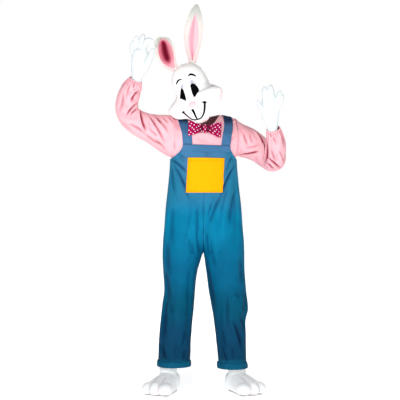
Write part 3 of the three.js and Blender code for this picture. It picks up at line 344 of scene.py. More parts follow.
def cloth(name, code, thread=1.1, sheen=0.3, sheen_code="#FFFFFF", roughness=0.75, uneven=0.05, height_colours=None,
          crumple=(1.2, 34.0, 20.0)):
    """Woven cloth: a fine plain weave in the surface and a slight unevenness of its colour. height_colours is
    a list of (height in m, colour), lowest first, where the cloth isn't the same colour all the way up; on
    the overalls they add painted light and shade to the cloth's colour. crumple is the depth, length and
    width in mm of its small soft wrinkles."""
    material, tree, output = new_material(name)
    place = add(tree, "ShaderNodeUVMap", uv_map="mm")
    parts = add(tree, "ShaderNodeSeparateXYZ", {0: place.outputs[0]})
    waves = []
    for axis in (0, 1):
        turn = add(tree, "ShaderNodeMath", {0: parts.outputs[axis]}, {1: 2 * math.pi / thread},
                   operation="MULTIPLY")
        waves.append(add(tree, "ShaderNodeMath", {0: turn.outputs[0]}, operation="SINE"))
    weave = add(tree, "ShaderNodeMath", {0: waves[0].outputs[0], 1: waves[1].outputs[0]},
                operation="MULTIPLY")
    bump = add(tree, "ShaderNodeBump", {"Height": weave.outputs[0]}, Strength=0.25, Distance=0.0002)
    deep, long, wide = crumple
    size = add(tree, "ShaderNodeVectorMath", {0: place.outputs[0]}, {1: (wide, long, 1.0)},
               operation="DIVIDE")
    small = add(tree, "ShaderNodeTexNoise", {"Vector": size.outputs[0]}, Scale=1.0, Detail=3.0,
                Distortion=0.6)
    wrinkle = add(tree, "ShaderNodeBump", {"Height": small.outputs["Fac"], "Normal": bump.outputs[0]},
                  Strength=1.0, Distance=deep / 1000)
    where = add(tree, "ShaderNodeTexCoord")
    patch = add(tree, "ShaderNodeTexNoise", {"Vector": where.outputs["Object"]}, Scale=14.0, Detail=5.0)
    height_colours = height_colours or [(0.0, code)]
    heights = [h for h, _ in height_colours]
    low, high = heights[0] - 0.001, heights[-1] + 0.001
    up = add(tree, "ShaderNodeSeparateXYZ", {0: where.outputs["Object"]})
    level = add(tree, "ShaderNodeMapRange", {0: up.outputs[2]}, {1: low, 2: high})
    # The colours up the cloth; on the overalls they are painted light and shade.
    ramp = add(tree, "ShaderNodeValToRGB", {0: level.outputs[0]})
    ramp.color_ramp.interpolation = "EASE"
    while len(ramp.color_ramp.elements) < len(height_colours):
        ramp.color_ramp.elements.new(0.5)
    while len(ramp.color_ramp.elements) > len(height_colours):
        ramp.color_ramp.elements.remove(ramp.color_ramp.elements[-1])
    for stop, (height, stop_code) in zip(ramp.color_ramp.elements, height_colours):
        stop.position = (height - low) / (high - low)
        stop.color = (*linear(stop_code), 1)
    shade = add(tree, "ShaderNodeMapRange", {0: patch.outputs["Fac"]},
                {3: 1 - 2.5 * uneven, 4: 1 + 2.5 * uneven})
    paint = add(tree, "ShaderNodeVertexColor", layer_name="paint")
    uneven_height_colour = add(tree, "ShaderNodeMix", {0: shade.outputs[0], 7: ramp.outputs[0]}, {6: (0, 0, 0, 1)},
               data_type="RGBA", clamp_factor=False)
    tint = add(tree, "ShaderNodeMix", {6: uneven_height_colour.outputs[2], 7: paint.outputs[0]}, {0: 1.0},
               data_type="RGBA", blend_type="MULTIPLY")
    shader = add(tree, "ShaderNodeBsdfPrincipled",
                 {"Base Color": tint.outputs[2], "Normal": wrinkle.outputs[0]}, Roughness=roughness,
                 Specular_IOR_Level=0.06, Sheen_Weight=sheen, Sheen_Roughness=0.4,
                 Sheen_Tint=(*linear(sheen_code), 1))
    tree.links.new(shader.outputs[0], output.inputs[0])
    return material


# Brushed cotton jersey: a matte, soft surface whose fine loops catch no shine, with painted shade deep in its
# folds.
SHIRT_PINK = cloth("cotton_jersey_pink", "#F1B3BC", 0.9, 0.06, "#FFE0E4", 0.85, 0.02,
                   crumple=(1.6, 30.0, 18.0))
# Painted shade: the colour deep in the shirt's folds.
SHIRT_FOLD_SHADE = "#983B57"

SHIRT = table(
    "z wide front back",
    (900, 180, 104, 104), (1000, 174, 106, 100), (1100, 166, 110, 100), (1160, 164, 113, 103),
    (1211, 166, 116, 105), (1274, 166, 113, 105), (1330, 166, 108, 103), (1380, 166, 100, 97),
    (1410, 166, 94, 90), (1425, 166, 90, 84), (1431, 130, 89, 78), (1437, 96, 87, 70), (1440, 78, 86, 66))
ARMHOLE = dict(x=166, z=1318, half_height=107, half_depth=86)
DIP_FROM = 1330
DIP = {-1: 0.62, 1: 0.1}
shirt_depth = {-1: curve(SHIRT, "z", "front"), 1: curve(SHIRT, "z", "back")}
wide_below = curve(SHIRT, "z", "wide", slice(0, 5))
wide_at_neck = curve(SHIRT, "z", "wide", slice(-4, None))


def shirt_end(face, z):
    """The angle at which a panel meets the armhole or side seam."""
    t = np.clip((z - ARMHOLE["z"]) / ARMHOLE["half_height"], -1, 1)
    seam = ARMHOLE["half_depth"] * np.sqrt(np.maximum(1 - t * t, 0))
    return np.arccos(np.minimum(seam / shirt_depth[face](z), 0.95))


def shirt_wide(face, z):
    z = np.asarray(z, float)
    beside = ARMHOLE["x"] / np.sin(shirt_end(face, z))
    low, high = ARMHOLE["z"] - ARMHOLE["half_height"], ARMHOLE["z"] + ARMHOLE["half_height"]
    return np.where(z <= low, wide_below(z), np.where(z >= high, wide_at_neck(z), beside))


def shirt_at(face, angle, z):
    drop = np.maximum(0, z - DIP_FROM) * DIP[face] * np.cos(angle) ** 2
    y = face * shirt_depth[face](z) * np.cos(angle)
    return posed(points(shirt_wide(face, z) * np.sin(angle), y, z - drop))


SHIRT_CREASES = {
    -1: table(
        CREASE,
        (-60, 1338, 60, 1334, 9, 2.0, -8), (-150, 1424, -128, 1340, 7, 3, 4),
        (-138, 1408, -116, 1350, 6, 2, 3), (152, 1404, 128, 1300, 8, 2.5, -6),
        (-160, 1300, -132, 1240, 7, 3, 4), (164, 1330, 130, 1262, 7, 3, 4), (-40, 1310, 30, 1290, 9, 1.5, 6)),
    1: table(
        CREASE,
        (-150, 1400, -60, 1290, 12, 4, 8), (150, 1400, 50, 1300, 12, 4, -8),
        (-70, 1370, 70, 1366, 12, 3, -6), (-155, 1330, -120, 1240, 9, 4, 4),
        (155, 1330, 120, 1240, 9, 4, -4)),
}
GATHER = dict(count=46, high=1.3)  # fine gathers of the shoulder seams


def shirt_moved(face, p):
    """How far the shirt is moved out by its creases; nothing is moved where the overalls cover it."""
    x, z = p[..., 0], p[..., 2]
    above = smooth(z, 1272, 1300)
    free = above + (1 - above) * smooth(np.abs(x), 138, 150) * smooth(z, 1200, 1230)
    edge = 1 - 0.8 * smooth(z, 1392, 1420)
    waves = np.sin(x * GATHER["count"] / 40)
    gathers = GATHER["high"] * waves * smooth(np.abs(x), 95, 120) * smooth(z, 1370, 1420)
    return (creases(SHIRT_CREASES[face], x, z) * edge + 0.7 * ripple(x, z, 70, 3) + gathers) * free * 0.8


def rows_of(*spans):
    """Levels in spans of (from, to, count), each starting where the last one ended."""
    last = len(spans) - 1
    return np.concatenate([np.linspace(a, b, n, endpoint=k == last) for k, (a, b, n) in enumerate(spans)])


def inset(f, v, gap=SEAM_GAP):
    """The u at which a panel starts and ends at each level, half a seam gap short of each side."""
    e = 1e-3
    speed = []
    for at in (0.0, 1.0):
        step = f(np.full_like(v, at + e), v) - f(np.full_like(v, at - e), v)
        speed.append(np.maximum(np.linalg.norm(step, axis=-1) / (2 * e), 1))
    return gap / 2 / speed[0], 1 - gap / 2 / speed[1]


def panel_grid(f, v, across, out, moved=None, thickness=CLOTH, gap=SEAM_GAP, roll=0.0, centre_above=None):
    """The outer and inner points of a cloth panel f(u, v), its surface moved out by moved(points).
    roll is how far each side edge sinks into its seam. Above the level centre_above the first edge is a
    centre seam, which moves only to the front or back."""
    start, end = inset(f, v, gap)
    share = np.linspace(0, 1, across + 1)
    u = start[:, None] + (end - start)[:, None] * share
    vv = v[:, None] * np.ones_like(u)
    base = f(u, vv)
    out_way = normals(f, u, vv, out)
    height = np.zeros(u.shape) if moved is None else moved(base)
    if roll:
        arc = np.linalg.norm(np.diff(base, axis=1), axis=2)
        run = np.concatenate([np.zeros((len(v), 1)), arc.cumsum(1)], 1)
        near = np.minimum(run, run[:, -1:] - run)
        height = height - roll * np.exp(-((near / 3.5) ** 2))
    move_way = out_way
    if centre_above is not None:
        held = (1 - smooth(u, 0.0, 0.1)) * smooth(vv, centre_above, centre_above + 12)
        move_way = out_way * (1 - held[..., None] * np.array([1, 0, 0]))
    outer = base + move_way * height[..., None]
    return outer, outer - out_way * thickness, height


SHIRT_LEVELS = rows_of((900, 1211, 18), (1211, 1425, 70), (1425, 1440, 24))
SHIRT_ACROSS = 84
for face, face_name in FACES:
    def surface(u, z, face=face):
        return shirt_at(face, lerp(-1, 1, u) * shirt_end(face, z), z)

    outer, inner, moved = panel_grid(surface, SHIRT_LEVELS, SHIRT_ACROSS, -face,
                                     lambda p, face=face: shirt_moved(face, p), roll=0.2)
    # Each panel carries painted shade in its folds.
    cloth_piece(f"shirt_{face_name}_cloth", f"shirt_{face_name}", outer, inner, SHIRT_PINK,
                tint=fold_painted_shade(moved, SHIRT_FOLD_SHADE))

# ---------------------------------------------------------------- overalls
# Blue bib-and-brace overalls in a plain cotton, with a soft sheen that is painted into its colour: four
# panels that run from hem to bib, sewn at the centre, the sides and the inseams. They hang from the straps
# and pull towards the pocket.
CROTCH_Z = 724
RISE = 220
BIB_TOP_Z = 1274
BACK_TOP_Z = 1262
ARMHOLE_LOW_Z = 1204
BIB_HALF_WIDTH = 123
BACK_HALF_WIDTH = 112

# Piece-dyed cotton twill: matte and close. Its change of colour up the height is painted light: a violet
# painted sheen at the bib, painted shade deepening towards the hems and darkest just above the turn-ups, and
# a dark painted shadow where the straps go over the shoulders.
OVERALLS_BLUE = cloth("cotton_twill_blue", "", 1.3, 0.0, "#8E9BE0", 0.7, 0.06, [
    (-1.30, "#085472"), (-1.27, "#085472"), (-1.24, "#063C5A"), (-1.12, "#064060"), (-0.98, "#004D69"),
    (-0.80, "#005C80"), (-0.52, "#00769C"), (-0.36, "#2F7299"), (-0.22, "#3D749B"), (-0.13, "#406D95"),
    (-0.05, "#3B6289"), (-0.012, "#23304F")], (1.5, 60.0, 22.0))

LEGS = {
    -1: table(
        "z inner outer front back middle",
        (131, 69, 238, 84, 84, 14), (165, 69, 236, 84, 84, 14), (300, 63, 230, 86, 86, 10),
        (458, 48, 213, 90, 88, 4), (525, 44, 204, 94, 92, 2), (629, 30, 210, 104, 104, 2),
        (690, 12, 213, 114, 114, 4), (724, 0, 213, 118, 120, 4)),
    1: table(
        "z inner outer front back middle",
        (122, 75, 227, 80, 80, 16), (163, 76, 223, 80, 80, 16), (298, 62, 221, 84, 84, 12),
        (370, 53, 220, 88, 86, 8), (426, 45, 232, 92, 88, 6), (525, 27, 222, 98, 94, 4),
        (629, 14, 214, 106, 104, 2), (690, 5, 213, 114, 114, 4), (724, 0, 213, 118, 120, 4)),
}
TRUNK = table(
    "z wide front back middle",
    (724, 213, 118, 120, 4), (790, 210, 122, 126, 4), (863, 203, 122, 126, 2), (952, 197, 121, 120, 0),
    (1040, 187, 122, 114, 0), (1123, 179, 123, 112, 0), (1204, 174, 122, 111, 0), (1274, 172, 118, 111, 0))
FOLDS = table(
    "side face z share to_z to_share width depth",
    (-1, -1, 300, 0.22, 640, 0.30, 15, 7), (-1, -1, 180, 0.72, 520, 0.80, 16, 7),
    (-1, -1, 690, 0.35, 900, 0.16, 14, 7), (-1, -1, 1010, 0.55, 1160, 0.86, 13, 6),
    (1, -1, 160, 0.20, 430, 0.30, 15, 6), (1, -1, 200, 0.66, 460, 0.86, 15, 7),
    (1, -1, 700, 0.40, 930, 0.20, 15, 7), (1, -1, 760, 0.62, 1100, 0.70, 18, 7),
    (-1, 1, 620, 0.36, 860, 0.20, 15, 7), (1, 1, 600, 0.40, 850, 0.20, 15, 7),
    (-1, 1, 220, 0.50, 520, 0.60, 16, 6), (1, 1, 200, 0.45, 500, 0.55, 16, 6))
FOLD_END = 70
leg_curves = {side: {k: curve(rows, "z", k) for k in "inner outer front back middle".split()}
              for side, rows in LEGS.items()}
trunk = {k: curve(TRUNK, "z", k) for k in ("front", "back", "middle")}
trunk_below = curve(TRUNK, "z", "wide", slice(0, -1))


def fold_depth(side, face, share, z, arc):
    """The large folds that the solids have too."""
    sunk = np.zeros(share.shape)
    for s, f, z0, share0, z1, share1, width, depth in zip(*FOLDS.values()):
        if (s, f) == (side, face):
            away = (share - lerp(share0, share1, (z - z0) / (z1 - z0))) * arc
            ends = smooth(z, z0 - FOLD_END, z0 + FOLD_END) * (1 - smooth(z, z1 - FOLD_END, z1 + FOLD_END))
            sunk = sunk + depth * ends * np.exp(-((away / width) ** 2))
    return sunk * smooth(share, 0, 0.12) * (1 - smooth(share, 0.86, 0.99))


def trunk_wide(face, z):
    above = trunk_below(ARMHOLE_LOW_Z) + shirt_wide(face, z) - ARMHOLE["x"]
    return np.where(z <= ARMHOLE_LOW_Z, trunk_below(z), above)


def scoop(z, top, top_half_width):
    t = np.clip((top - z) / (top - ARMHOLE_LOW_Z), 0, 1)
    return lerp(top_half_width, trunk_below(ARMHOLE_LOW_Z), t * t)


def overalls_at(side, face, u, z):
    """A level section is an arc of an ellipse: a whole leg below the crotch, half a trunk above it."""
    leg = leg_curves[side]
    depth_name = "front" if face < 0 else "back"
    above = z > CROTCH_Z
    outer = np.where(above, trunk_wide(face, z), leg["outer"](z))
    risen = np.clip((z - CROTCH_Z) / RISE, 0, 1)
    reach = 0.36 * risen + 0.64 * risen**1.6
    inner = np.where(above, -outer * reach, leg["inner"](z))
    centre, half = (inner + outer) / 2, (outer - inner) / 2
    start = np.where(inner >= 0, -math.pi / 2, np.arcsin(np.clip(-centre / half, -1, 1)))
    top, top_half = (BIB_TOP_Z, BIB_HALF_WIDTH) if face < 0 else (BACK_TOP_Z, BACK_HALF_WIDTH)
    end = np.where(z <= ARMHOLE_LOW_Z, math.pi / 2, np.arcsin(np.minimum(1, scoop(z, top, top_half) / outer)))
    angle = lerp(start, end, u)
    depth = np.where(above, trunk[depth_name](z), leg[depth_name](z))
    middle = np.where(above, trunk["middle"](z), leg["middle"](z))
    sunk = fold_depth(side, face, u, z, half * (end - start))
    slope = np.hypot(depth * np.sin(angle), half * np.cos(angle))
    x = centre + half * np.sin(angle) * (1 - sunk * depth / half / slope)
    y = middle + face * depth * np.cos(angle) * (1 - sunk * half / depth / slope)
    return posed(points(side * x, y, z))


# Drag lines run from the underarms to the pocket, from the hips to the crotch, and down each leg. A row with
# a negative depth is a ridge.
OVERALLS_CREASES = {
    -1: table(
        CREASE,
        (-170, 1204, -84, 1130, 6, 7, -4), (-164, 1188, -74, 990, 6.5, 6, -8),
        (-168, 1176, -150, 1015, 7, 4, 3), (-146, 1240, -96, 1206, 7, 2.6, 0),
        (-128, 1218, -98, 1186, 6, 2, 2), (-120, 1100, -92, 1060, 8, 2, 0), (166, 1180, 88, 1010, 7, 8, 6),
        (92, 1022, 16, 842, 8, 5, 4), (150, 1226, 118, 1130, 6, 3.5, 4), (170, 1060, 130, 850, 12, 5, 6),
        (148, 1086, 94, 800, 9, -4, 8), (62, 1000, 20, 846, 7, -3.5, 2), (40, 980, 28, 880, 7, 2.5, 3),
        (-2, 1010, -6, 900, 6, 1.5, 0), (-34, 960, -34, 806, 9, 5, 0), (-55, 968, -80, 760, 9, -3.5, -6),
        (-36, 840, -14, 716, 8, 4.5, 4), (-74, 806, -42, 712, 8, 3.5, 5), (-54, 830, -46, 740, 8, 2.5, 0),
        (14, 832, 32, 690, 8, 4.5, 5), (34, 800, 58, 640, 9, 3, 4), (-160, 960, -164, 760, 14, 3.5, 4),
        (-186, 780, -176, 600, 13, 4, 5), (-206, 640, -178, 470, 13, 5, -6),
        (-186, 490, -206, 270, 12, 5, 6), (-172, 470, -164, 400, 10, 3, 0), (-228, 268, -196, 172, 7, 5, 3),
        (-214, 300, -204, 180, 6, 3, 0), (-92, 320, -108, 236, 8, 3, 0), (-120, 560, -128, 300, 14, -3, 4),
        (-150, 250, -140, 170, 8, 2, 3), (-96, 230, -104, 160, 7, 3, 0), (16, 690, 62, 420, 9, 5, 6),
        (136, 540, 150, 360, 8, -3.5, 4), (146, 386, 196, 236, 7, 5, -4), (170, 330, 200, 200, 7, 3, -3),
        (98, 330, 112, 230, 8, 3, 2), (94, 244, 124, 150, 6, 5, 3), (158, 516, 190, 494, 9, 3, 0),
        (206, 520, 212, 430, 7, 3, -3), (192, 384, 212, 316, 7, 4.5, -3), (196, 458, 216, 420, 6, 4, 2),
        (120, 470, 126, 330, 10, 2.5, 3), (186, 700, 196, 560, 12, 3.5, -4), (150, 240, 156, 160, 8, 2.5, 2)),
    1: table(
        CREASE,
        (-150, 1180, -70, 1040, 10, 4.5, -8), (150, 1180, 70, 1040, 10, 4.5, 8),
        (-168, 1120, -160, 900, 12, 4, 5), (168, 1100, 160, 880, 12, 4, -5),
        (-110, 960, -30, 790, 12, 6, -8), (110, 960, 30, 790, 12, 6, 8), (-60, 1010, -20, 860, 8, 3.5, 3),
        (60, 1010, 24, 850, 8, 3.5, -3), (-80, 740, -62, 560, 12, 5, 6), (80, 740, 62, 560, 12, 5, -6),
        (-170, 700, -160, 500, 13, 4, -5), (170, 700, 160, 500, 13, 4, 5), (-90, 520, -160, 470, 10, 5, 6),
        (90, 520, 160, 460, 10, 5, -6), (-100, 470, -190, 430, 9, 4, 5), (100, 470, 185, 420, 9, 4, -5),
        (-140, 400, -150, 200, 12, 4.5, 4), (140, 400, 150, 200, 12, 4.5, -4),
        (-200, 360, -205, 170, 10, 4, 4), (195, 360, 198, 170, 10, 4, -4)),
}
CREASE_DEPTH = 1.4


def overalls_moved(face, p):
    x, y, z = p[..., 0], p[..., 1], p[..., 2]
    return CREASE_DEPTH * creases(OVERALLS_CREASES[face], x, z) + 1.1 * ripple(x, z + 0.4 * y, 95, 11 + face)


def side_fade(u):
    """Creases die out at the side seams, so that front and back meet."""
    return 1 - smooth(u, 0.86, 1.0)


def overalls_levels(side, face):
    top = BIB_TOP_Z if face < 0 else BACK_TOP_Z
    low = LEGS[side]["z"][0]
    crotch = CROTCH_Z + RISE * np.linspace(0, 1, 42)[:-1] ** 1.8
    bib = ARMHOLE_LOW_Z + (top - ARMHOLE_LOW_Z) * np.linspace(0, 1, 24) ** 1.5
    return np.concatenate([np.linspace(low, CROTCH_Z, 116, endpoint=False), crotch,
                           np.linspace(CROTCH_Z + RISE, ARMHOLE_LOW_Z, 52, endpoint=False), bib])


ACROSS = 70
HEM_FREE = (150, 175)  # creases start above the hem, over these levels
# Painted shade: the colour deep in the overalls' folds.
OVERALLS_FOLD_SHADE = "#6A84A8"
# Painted sheen: the bib's middle keeps its painted violet sheen, and its sides are made greener.
SIDE_TINT = np.array([0.42, 1.04, 0.96])  # the sides of the bib are a little greener than its middle


def overalls_painted_light(moved, p):
    """Painted shade in the folds, and a painted sheen: the bib's sides are made greener, so that its middle
    keeps the violet.
    """
    side = smooth(np.abs(p[..., 0]), 84, 150) * smooth(p[..., 2], 930, 1060)
    return fold_painted_shade(moved, OVERALLS_FOLD_SHADE, 12.0) * lerp(np.ones(3), SIDE_TINT, side[..., None])


overalls_edges = {}
for face, face_name in FACES:
    for side, side_name in SIDES:
        def surface(u, z, side=side, face=face):
            return overalls_at(side, face, u, z)

        outer, inner, moved = panel_grid(
            surface, overalls_levels(side, face), ACROSS, -side * face,
            lambda p, face=face: (overalls_moved(face, p) * side_fade(np.linspace(0, 1, ACROSS + 1))
                                  * smooth(p[..., 2], *HEM_FREE)), roll=0.8, centre_above=CROTCH_Z)
        overalls_edges[face, side] = outer
        cloth_piece(f"overalls_{face_name}_{side_name}_cloth", f"overalls_{face_name}_{side_name}",
                    outer, inner, OVERALLS_BLUE,
                    tint=overalls_painted_light(moved, outer))

# The patch pocket is nearly a square of yellow cotton, sewn on flat through its own turned edge. The
# bib's top edge has a stitched facing, and each hem is folded up on the outside as a soft cuff.
POCKET = dict(half_width=93, low=1031, high=1208, lift=1.3)
BAND = dict(low=1238, high=1273, lift=1.3, thickness=1.5)
TURN_UP = dict(height=31, lift=3.0, drop=2)
# Woven cotton poplin, dyed a strong yellow: flat, even and dull.
PATCH_YELLOW = cloth("cotton_poplin_yellow", "#FFAA00", 1.1, 0.05, "#FFF0B0", 0.75, 0.01)


def bib_at(x, z):
    angle = np.arcsin(np.clip(x / trunk_wide(-1, z), -1, 1))
    return posed(points(x, trunk["middle"](z) - trunk["front"](z) * np.cos(angle), z))


def pocket_at(u, v):
    return bib_at(lerp(-POCKET["half_width"], POCKET["half_width"], u),
                  lerp(POCKET["low"], POCKET["high"], v))


def on_surface(f, across, up, lift, thickness, out=1, moved=None):
    """A piece of cloth laid on a surface f(u, v), a little way off it."""
    u, v = np.meshgrid(np.linspace(0, 1, across + 1), np.linspace(0, 1, up + 1))
    base = f(u, v)
    way = normals(f, u, v, out)
    height = lift + (0 if moved is None else moved(base, u, v))
    height = np.broadcast_to(height, u.shape)
    return base + way * (height + thickness)[..., None], base + way * height[..., None]


def hem_roll(u, v, wide, tall, depth=0.7, at=7.0):
    """A turned and sewn edge: a low step a few millimetres in from each side."""
    near = np.minimum(np.minimum(u, 1 - u) * wide, np.minimum(v, 1 - v) * tall)
    return -depth * np.exp(-(((near - at) / 1.6) ** 2)) - 0.6 * np.exp(-((near / 1.2) ** 2))


def pocket_moved(p, u, v):
    bulge = 2.2 * smooth(v, 0.7, 1.0) * np.sin(np.pi * u) + 0.5 * ripple(p[..., 0], p[..., 2], 80, 5)
    return bulge + hem_roll(u, v, 186, 177) + np.maximum(overalls_moved(-1, p), 0)


outer, inner = on_surface(pocket_at, 60, 58, POCKET["lift"], CLOTH, 1, pocket_moved)
cloth_piece("pocket_cloth", "pocket", outer, inner, PATCH_YELLOW)
pocket_grid = outer


def band_at(u, v):
    z = lerp(BAND["low"], BAND["high"], v)
    half = scoop(z, BIB_TOP_Z, BIB_HALF_WIDTH) - 1
    return bib_at(lerp(-half, half, u), z)


def band_moved(p, u, v):
    return np.maximum(overalls_moved(-1, p), 0) + hem_roll(u, v, 250, 35, 0.5, 4.0)


outer, inner = on_surface(band_at, 90, 16, BAND["lift"], BAND["thickness"], 1, band_moved)
cloth_piece("bib_band_cloth", "bib_band", outer, inner, OVERALLS_BLUE)
band_grid = outer

for side, side_name in SIDES:
    hem = LEGS[side]["z"][0]

    def ring_at(u, v, side=side, hem=hem):
        turn = np.mod(u, 1.0)
        share = np.where(turn < 0.5, turn * 2, 2 - turn * 2)
        level = hem + TURN_UP["height"] * v - TURN_UP["drop"]
        front, back = (overalls_at(side, face, share, level) for face in (-1, 1))
        p = np.where((turn < 0.5)[..., None], front, back)
        leg = leg_curves[side]
        centre = points(side * (leg["inner"](hem) + leg["outer"](hem)) / 2, leg["middle"](hem), p[..., 2])
        return p + unit(p - centre) * TURN_UP["lift"]

    count, up = 160, 14
    u, v = np.meshgrid(np.arange(count) / count + 0.5 / count, np.linspace(0, 1, up + 1))
    base = ring_at(u, v)
    centre = base.mean(axis=(0, 1))
    away = unit((base - centre) * np.array([1, 1, 0]))
    waves = 1.4 * np.sin(u * 2 * np.pi * 5 + side) + 0.9 * np.sin(u * 2 * np.pi * 11 + 2)
    puff = 2.2 * np.sqrt(np.maximum(1 - (2 * v - 1) ** 2, 0)) + waves * smooth(v, 0.2, 1) * 0.8
    rise = np.array([0, 0, 1]) * (waves * 0.9 * smooth(v, 0.5, 1))[..., None]
    outer = base + away * (puff + 0.4)[..., None] + rise
    inner = base - away * (CLOTH - 0.5) + rise
    cloth_piece(f"turn_up_{side_name}_cloth", f"turn_up_{side_name}", outer, inner,
                OVERALLS_BLUE, closed=True)

# ---------------------------------------------------------------- sleeves
# Full, soft sleeves set into the armholes and gathered into narrow wrists. The right arm is raised with
# the hand by the ear; the left elbow is bent and that hand is up and forward.
ARMS = {
    -1: table(
        "x y z flat deep",
        (-205, -42, 1341, 96, 80), (-255, -58, 1357, 79, 72), (-300, -74, 1372, 69, 66),
        (-344, -88, 1394, 63, 62), (-377, -99, 1424, 60, 60), (-391, -110, 1462, 58, 58),
        (-386, -120, 1505, 57, 57), (-371, -131, 1547, 53, 54), (-354, -141, 1580, 44, 46),
        (-343, -148, 1602, 33, 34)),
    1: table(
        "x y z flat deep",
        (208, 32, 1300, 92, 80), (252, 30, 1280, 80, 72), (292, 24, 1254, 70, 66), (328, 10, 1222, 62, 61),
        (354, -18, 1200, 59, 58), (366, -62, 1206, 57, 56), (366, -104, 1242, 54, 55),
        (365, -138, 1283, 50, 51), (358, -164, 1320, 43, 44), (350, -182, 1352, 34, 35)),
}
MATCHED = 0.16  # a ring changes from the armhole's shape to its own over this share


def armhole_ring(side, angle, out):
    return posed(points(side * (ARMHOLE["x"] + out), ARMHOLE["half_depth"] * np.cos(angle),
                        ARMHOLE["z"] + ARMHOLE["half_height"] * np.sin(angle)))


def sleeve_surface(side):
    arm = ARMS[side]
    start = posed(points(side * ARMHOLE["x"], 0.0, ARMHOLE["z"]))
    first = dict(x=start[0], y=start[1], z=start[2], flat=ARMHOLE["half_height"], deep=ARMHOLE["half_depth"])
    line = {k: np.concatenate([[first[k]], arm[k]]) for k in arm}
    line["at"] = np.arange(len(line["x"]), dtype=float)
    last = len(line["x"]) - 1
    c = {k: curve(line, "at", k) for k in arm}

    def middle(v):
        return points(c["x"](v * last), c["y"](v * last), c["z"](v * last))

    elbow, hem = (np.array([arm[k][i] for k in "xyz"]) for i in (5, 9))
    square = unit(np.cross(elbow - start, hem - elbow))
    square = square if square[1] > 0 else -square

    def at(u, v):
        angle = u * 2 * np.pi
        along = unit(middle(v + 0.01) - middle(v - 0.01))
        through = unit(square - along * (along @ square)[..., None])
        flat = unit(np.cross(through, along)) * (-1 if side > 0 else 1)
        own = (middle(v) + through * (c["deep"](v * last) * np.cos(angle))[..., None]
               + flat * (c["flat"](v * last) * np.sin(angle))[..., None])
        seam = armhole_ring(side, angle, 120 * v - 0.4)
        return lerp(seam, own, smooth(v, -0.001, MATCHED)[..., None])

    return at


# Creases on the front and on the back of each sleeve, sideways from the middle and up from the soles, in mm:
# drag lines from the shoulder to the elbow, deep folds inside the elbow, and long ones down the forearm.
SLEEVE_CREASES = {
    -1: {
        -1: table(
            CREASE,
            (-322, 1462, -292, 1338, 7, 10, 5), (-288, 1436, -200, 1284, 7, 6, -6),
            (-262, 1430, -176, 1330, 8, 4, -8), (-280, 1362, -226, 1312, 6, 4, 3),
            (-186, 1424, -142, 1366, 7, 5, -4), (-212, 1420, -180, 1384, 6, 4, 0),
            (-160, 1416, -128, 1356, 7, 3, 4), (-238, 1418, -216, 1380, 6, 3.5, 0),
            (-336, 1484, -392, 1416, 6, 8, 4), (-330, 1462, -372, 1418, 5, 6, 3),
            (-324, 1546, -366, 1486, 7, 8, 6), (-404, 1540, -424, 1440, 10, 4, -4),
            (-352, 1590, -346, 1520, 6, 3, 0), (-372, 1572, -392, 1490, 6, 3, 3),
            (-384, 1382, -290, 1322, 9, 4, -5), (-300, 1330, -210, 1270, 8, 4, 5),
            (-250, 1300, -190, 1240, 8, 3, -4), (-396, 1590, -414, 1560, 6, 3, 0)),
        1: table(
            CREASE,
            (-340, 1450, -290, 1340, 8, 8, 5), (-280, 1430, -200, 1290, 8, 6, -6),
            (-330, 1470, -380, 1420, 7, 7, 4), (-320, 1540, -370, 1480, 8, 5, 6),
            (-200, 1420, -160, 1350, 8, 5, -4), (-400, 1540, -420, 1440, 10, 4, -4),
            (-380, 1390, -290, 1320, 9, 4, -5)),
    },
    1: {
        -1: table(
            CREASE,
            (262, 1364, 316, 1276, 7, 12, -6), (315, 1290, 314, 1180, 6, 14, -5),
            (186, 1228, 288, 1246, 6, 9, 5), (196, 1216, 262, 1190, 7, 5, 4),
            (324, 1210, 400, 1152, 6, 10, 4), (322, 1182, 360, 1146, 6, 7, 0),
            (322, 1328, 370, 1268, 6, 4, -4), (372, 1382, 396, 1270, 7, 4, -5),
            (346, 1398, 352, 1330, 5, 3, 0), (204, 1346, 228, 1270, 7, 4, 3),
            (236, 1340, 256, 1282, 7, 3, 2), (214, 1262, 290, 1282, 7, 3.5, 6),
            (226, 1176, 300, 1150, 8, 4, 4), (176, 1400, 200, 1330, 7, 4, 3),
            (380, 1240, 412, 1180, 7, 4, -4), (340, 1250, 366, 1190, 7, 4, 4),
            (366, 1410, 372, 1350, 5, 3, 0), (392, 1340, 404, 1260, 6, 3, -3)),
        1: table(
            CREASE,
            (262, 1350, 316, 1260, 8, 8, -6), (190, 1230, 290, 1240, 8, 6, 5),
            (324, 1230, 390, 1170, 8, 8, 4), (322, 1320, 370, 1260, 8, 4, -4),
            (204, 1346, 228, 1270, 8, 4, 3), (380, 1380, 396, 1270, 8, 4, -5),
            (220, 1180, 300, 1150, 8, 4, 4)),
    },
}
WRIST_GATHERS = 17
HEAD_GATHERS = 30


def sleeve_moved(side, u, v, base, way):
    total = np.zeros(u.shape)
    for face, rows in SLEEVE_CREASES[side].items():
        total += creases(rows, base[..., 0], base[..., 2], 0.8) * smooth(face * way[..., 1], 0.0, 0.45)
    free = smooth(v, 0.02, 0.12) * (1 - smooth(v, 0.93, 0.99))
    wrist = 2.2 * np.sin(u * 2 * np.pi * WRIST_GATHERS + 1.2 * np.sin(u * 6.28 * 3)) * smooth(v, 0.74, 0.97)
    top = np.exp(-((v / 0.06) ** 2)) * smooth(np.sin(u * 2 * np.pi), 0.0, 0.7)
    head = 1.6 * np.sin(u * 2 * np.pi * HEAD_GATHERS) * top
    uneven = ripple(np.cos(u * 2 * np.pi) * 64, v * 500 + np.sin(u * 2 * np.pi) * 64, 90, 21 + side)
    elastic = -1.5 * np.exp(-(((v - 0.965) / 0.012) ** 2))
    ends = wrist * (1 - 0.4 * smooth(v, 0.97, 1)) + head * smooth(v, 0.004, 0.02)
    return total * free + ends + uneven * free + elastic


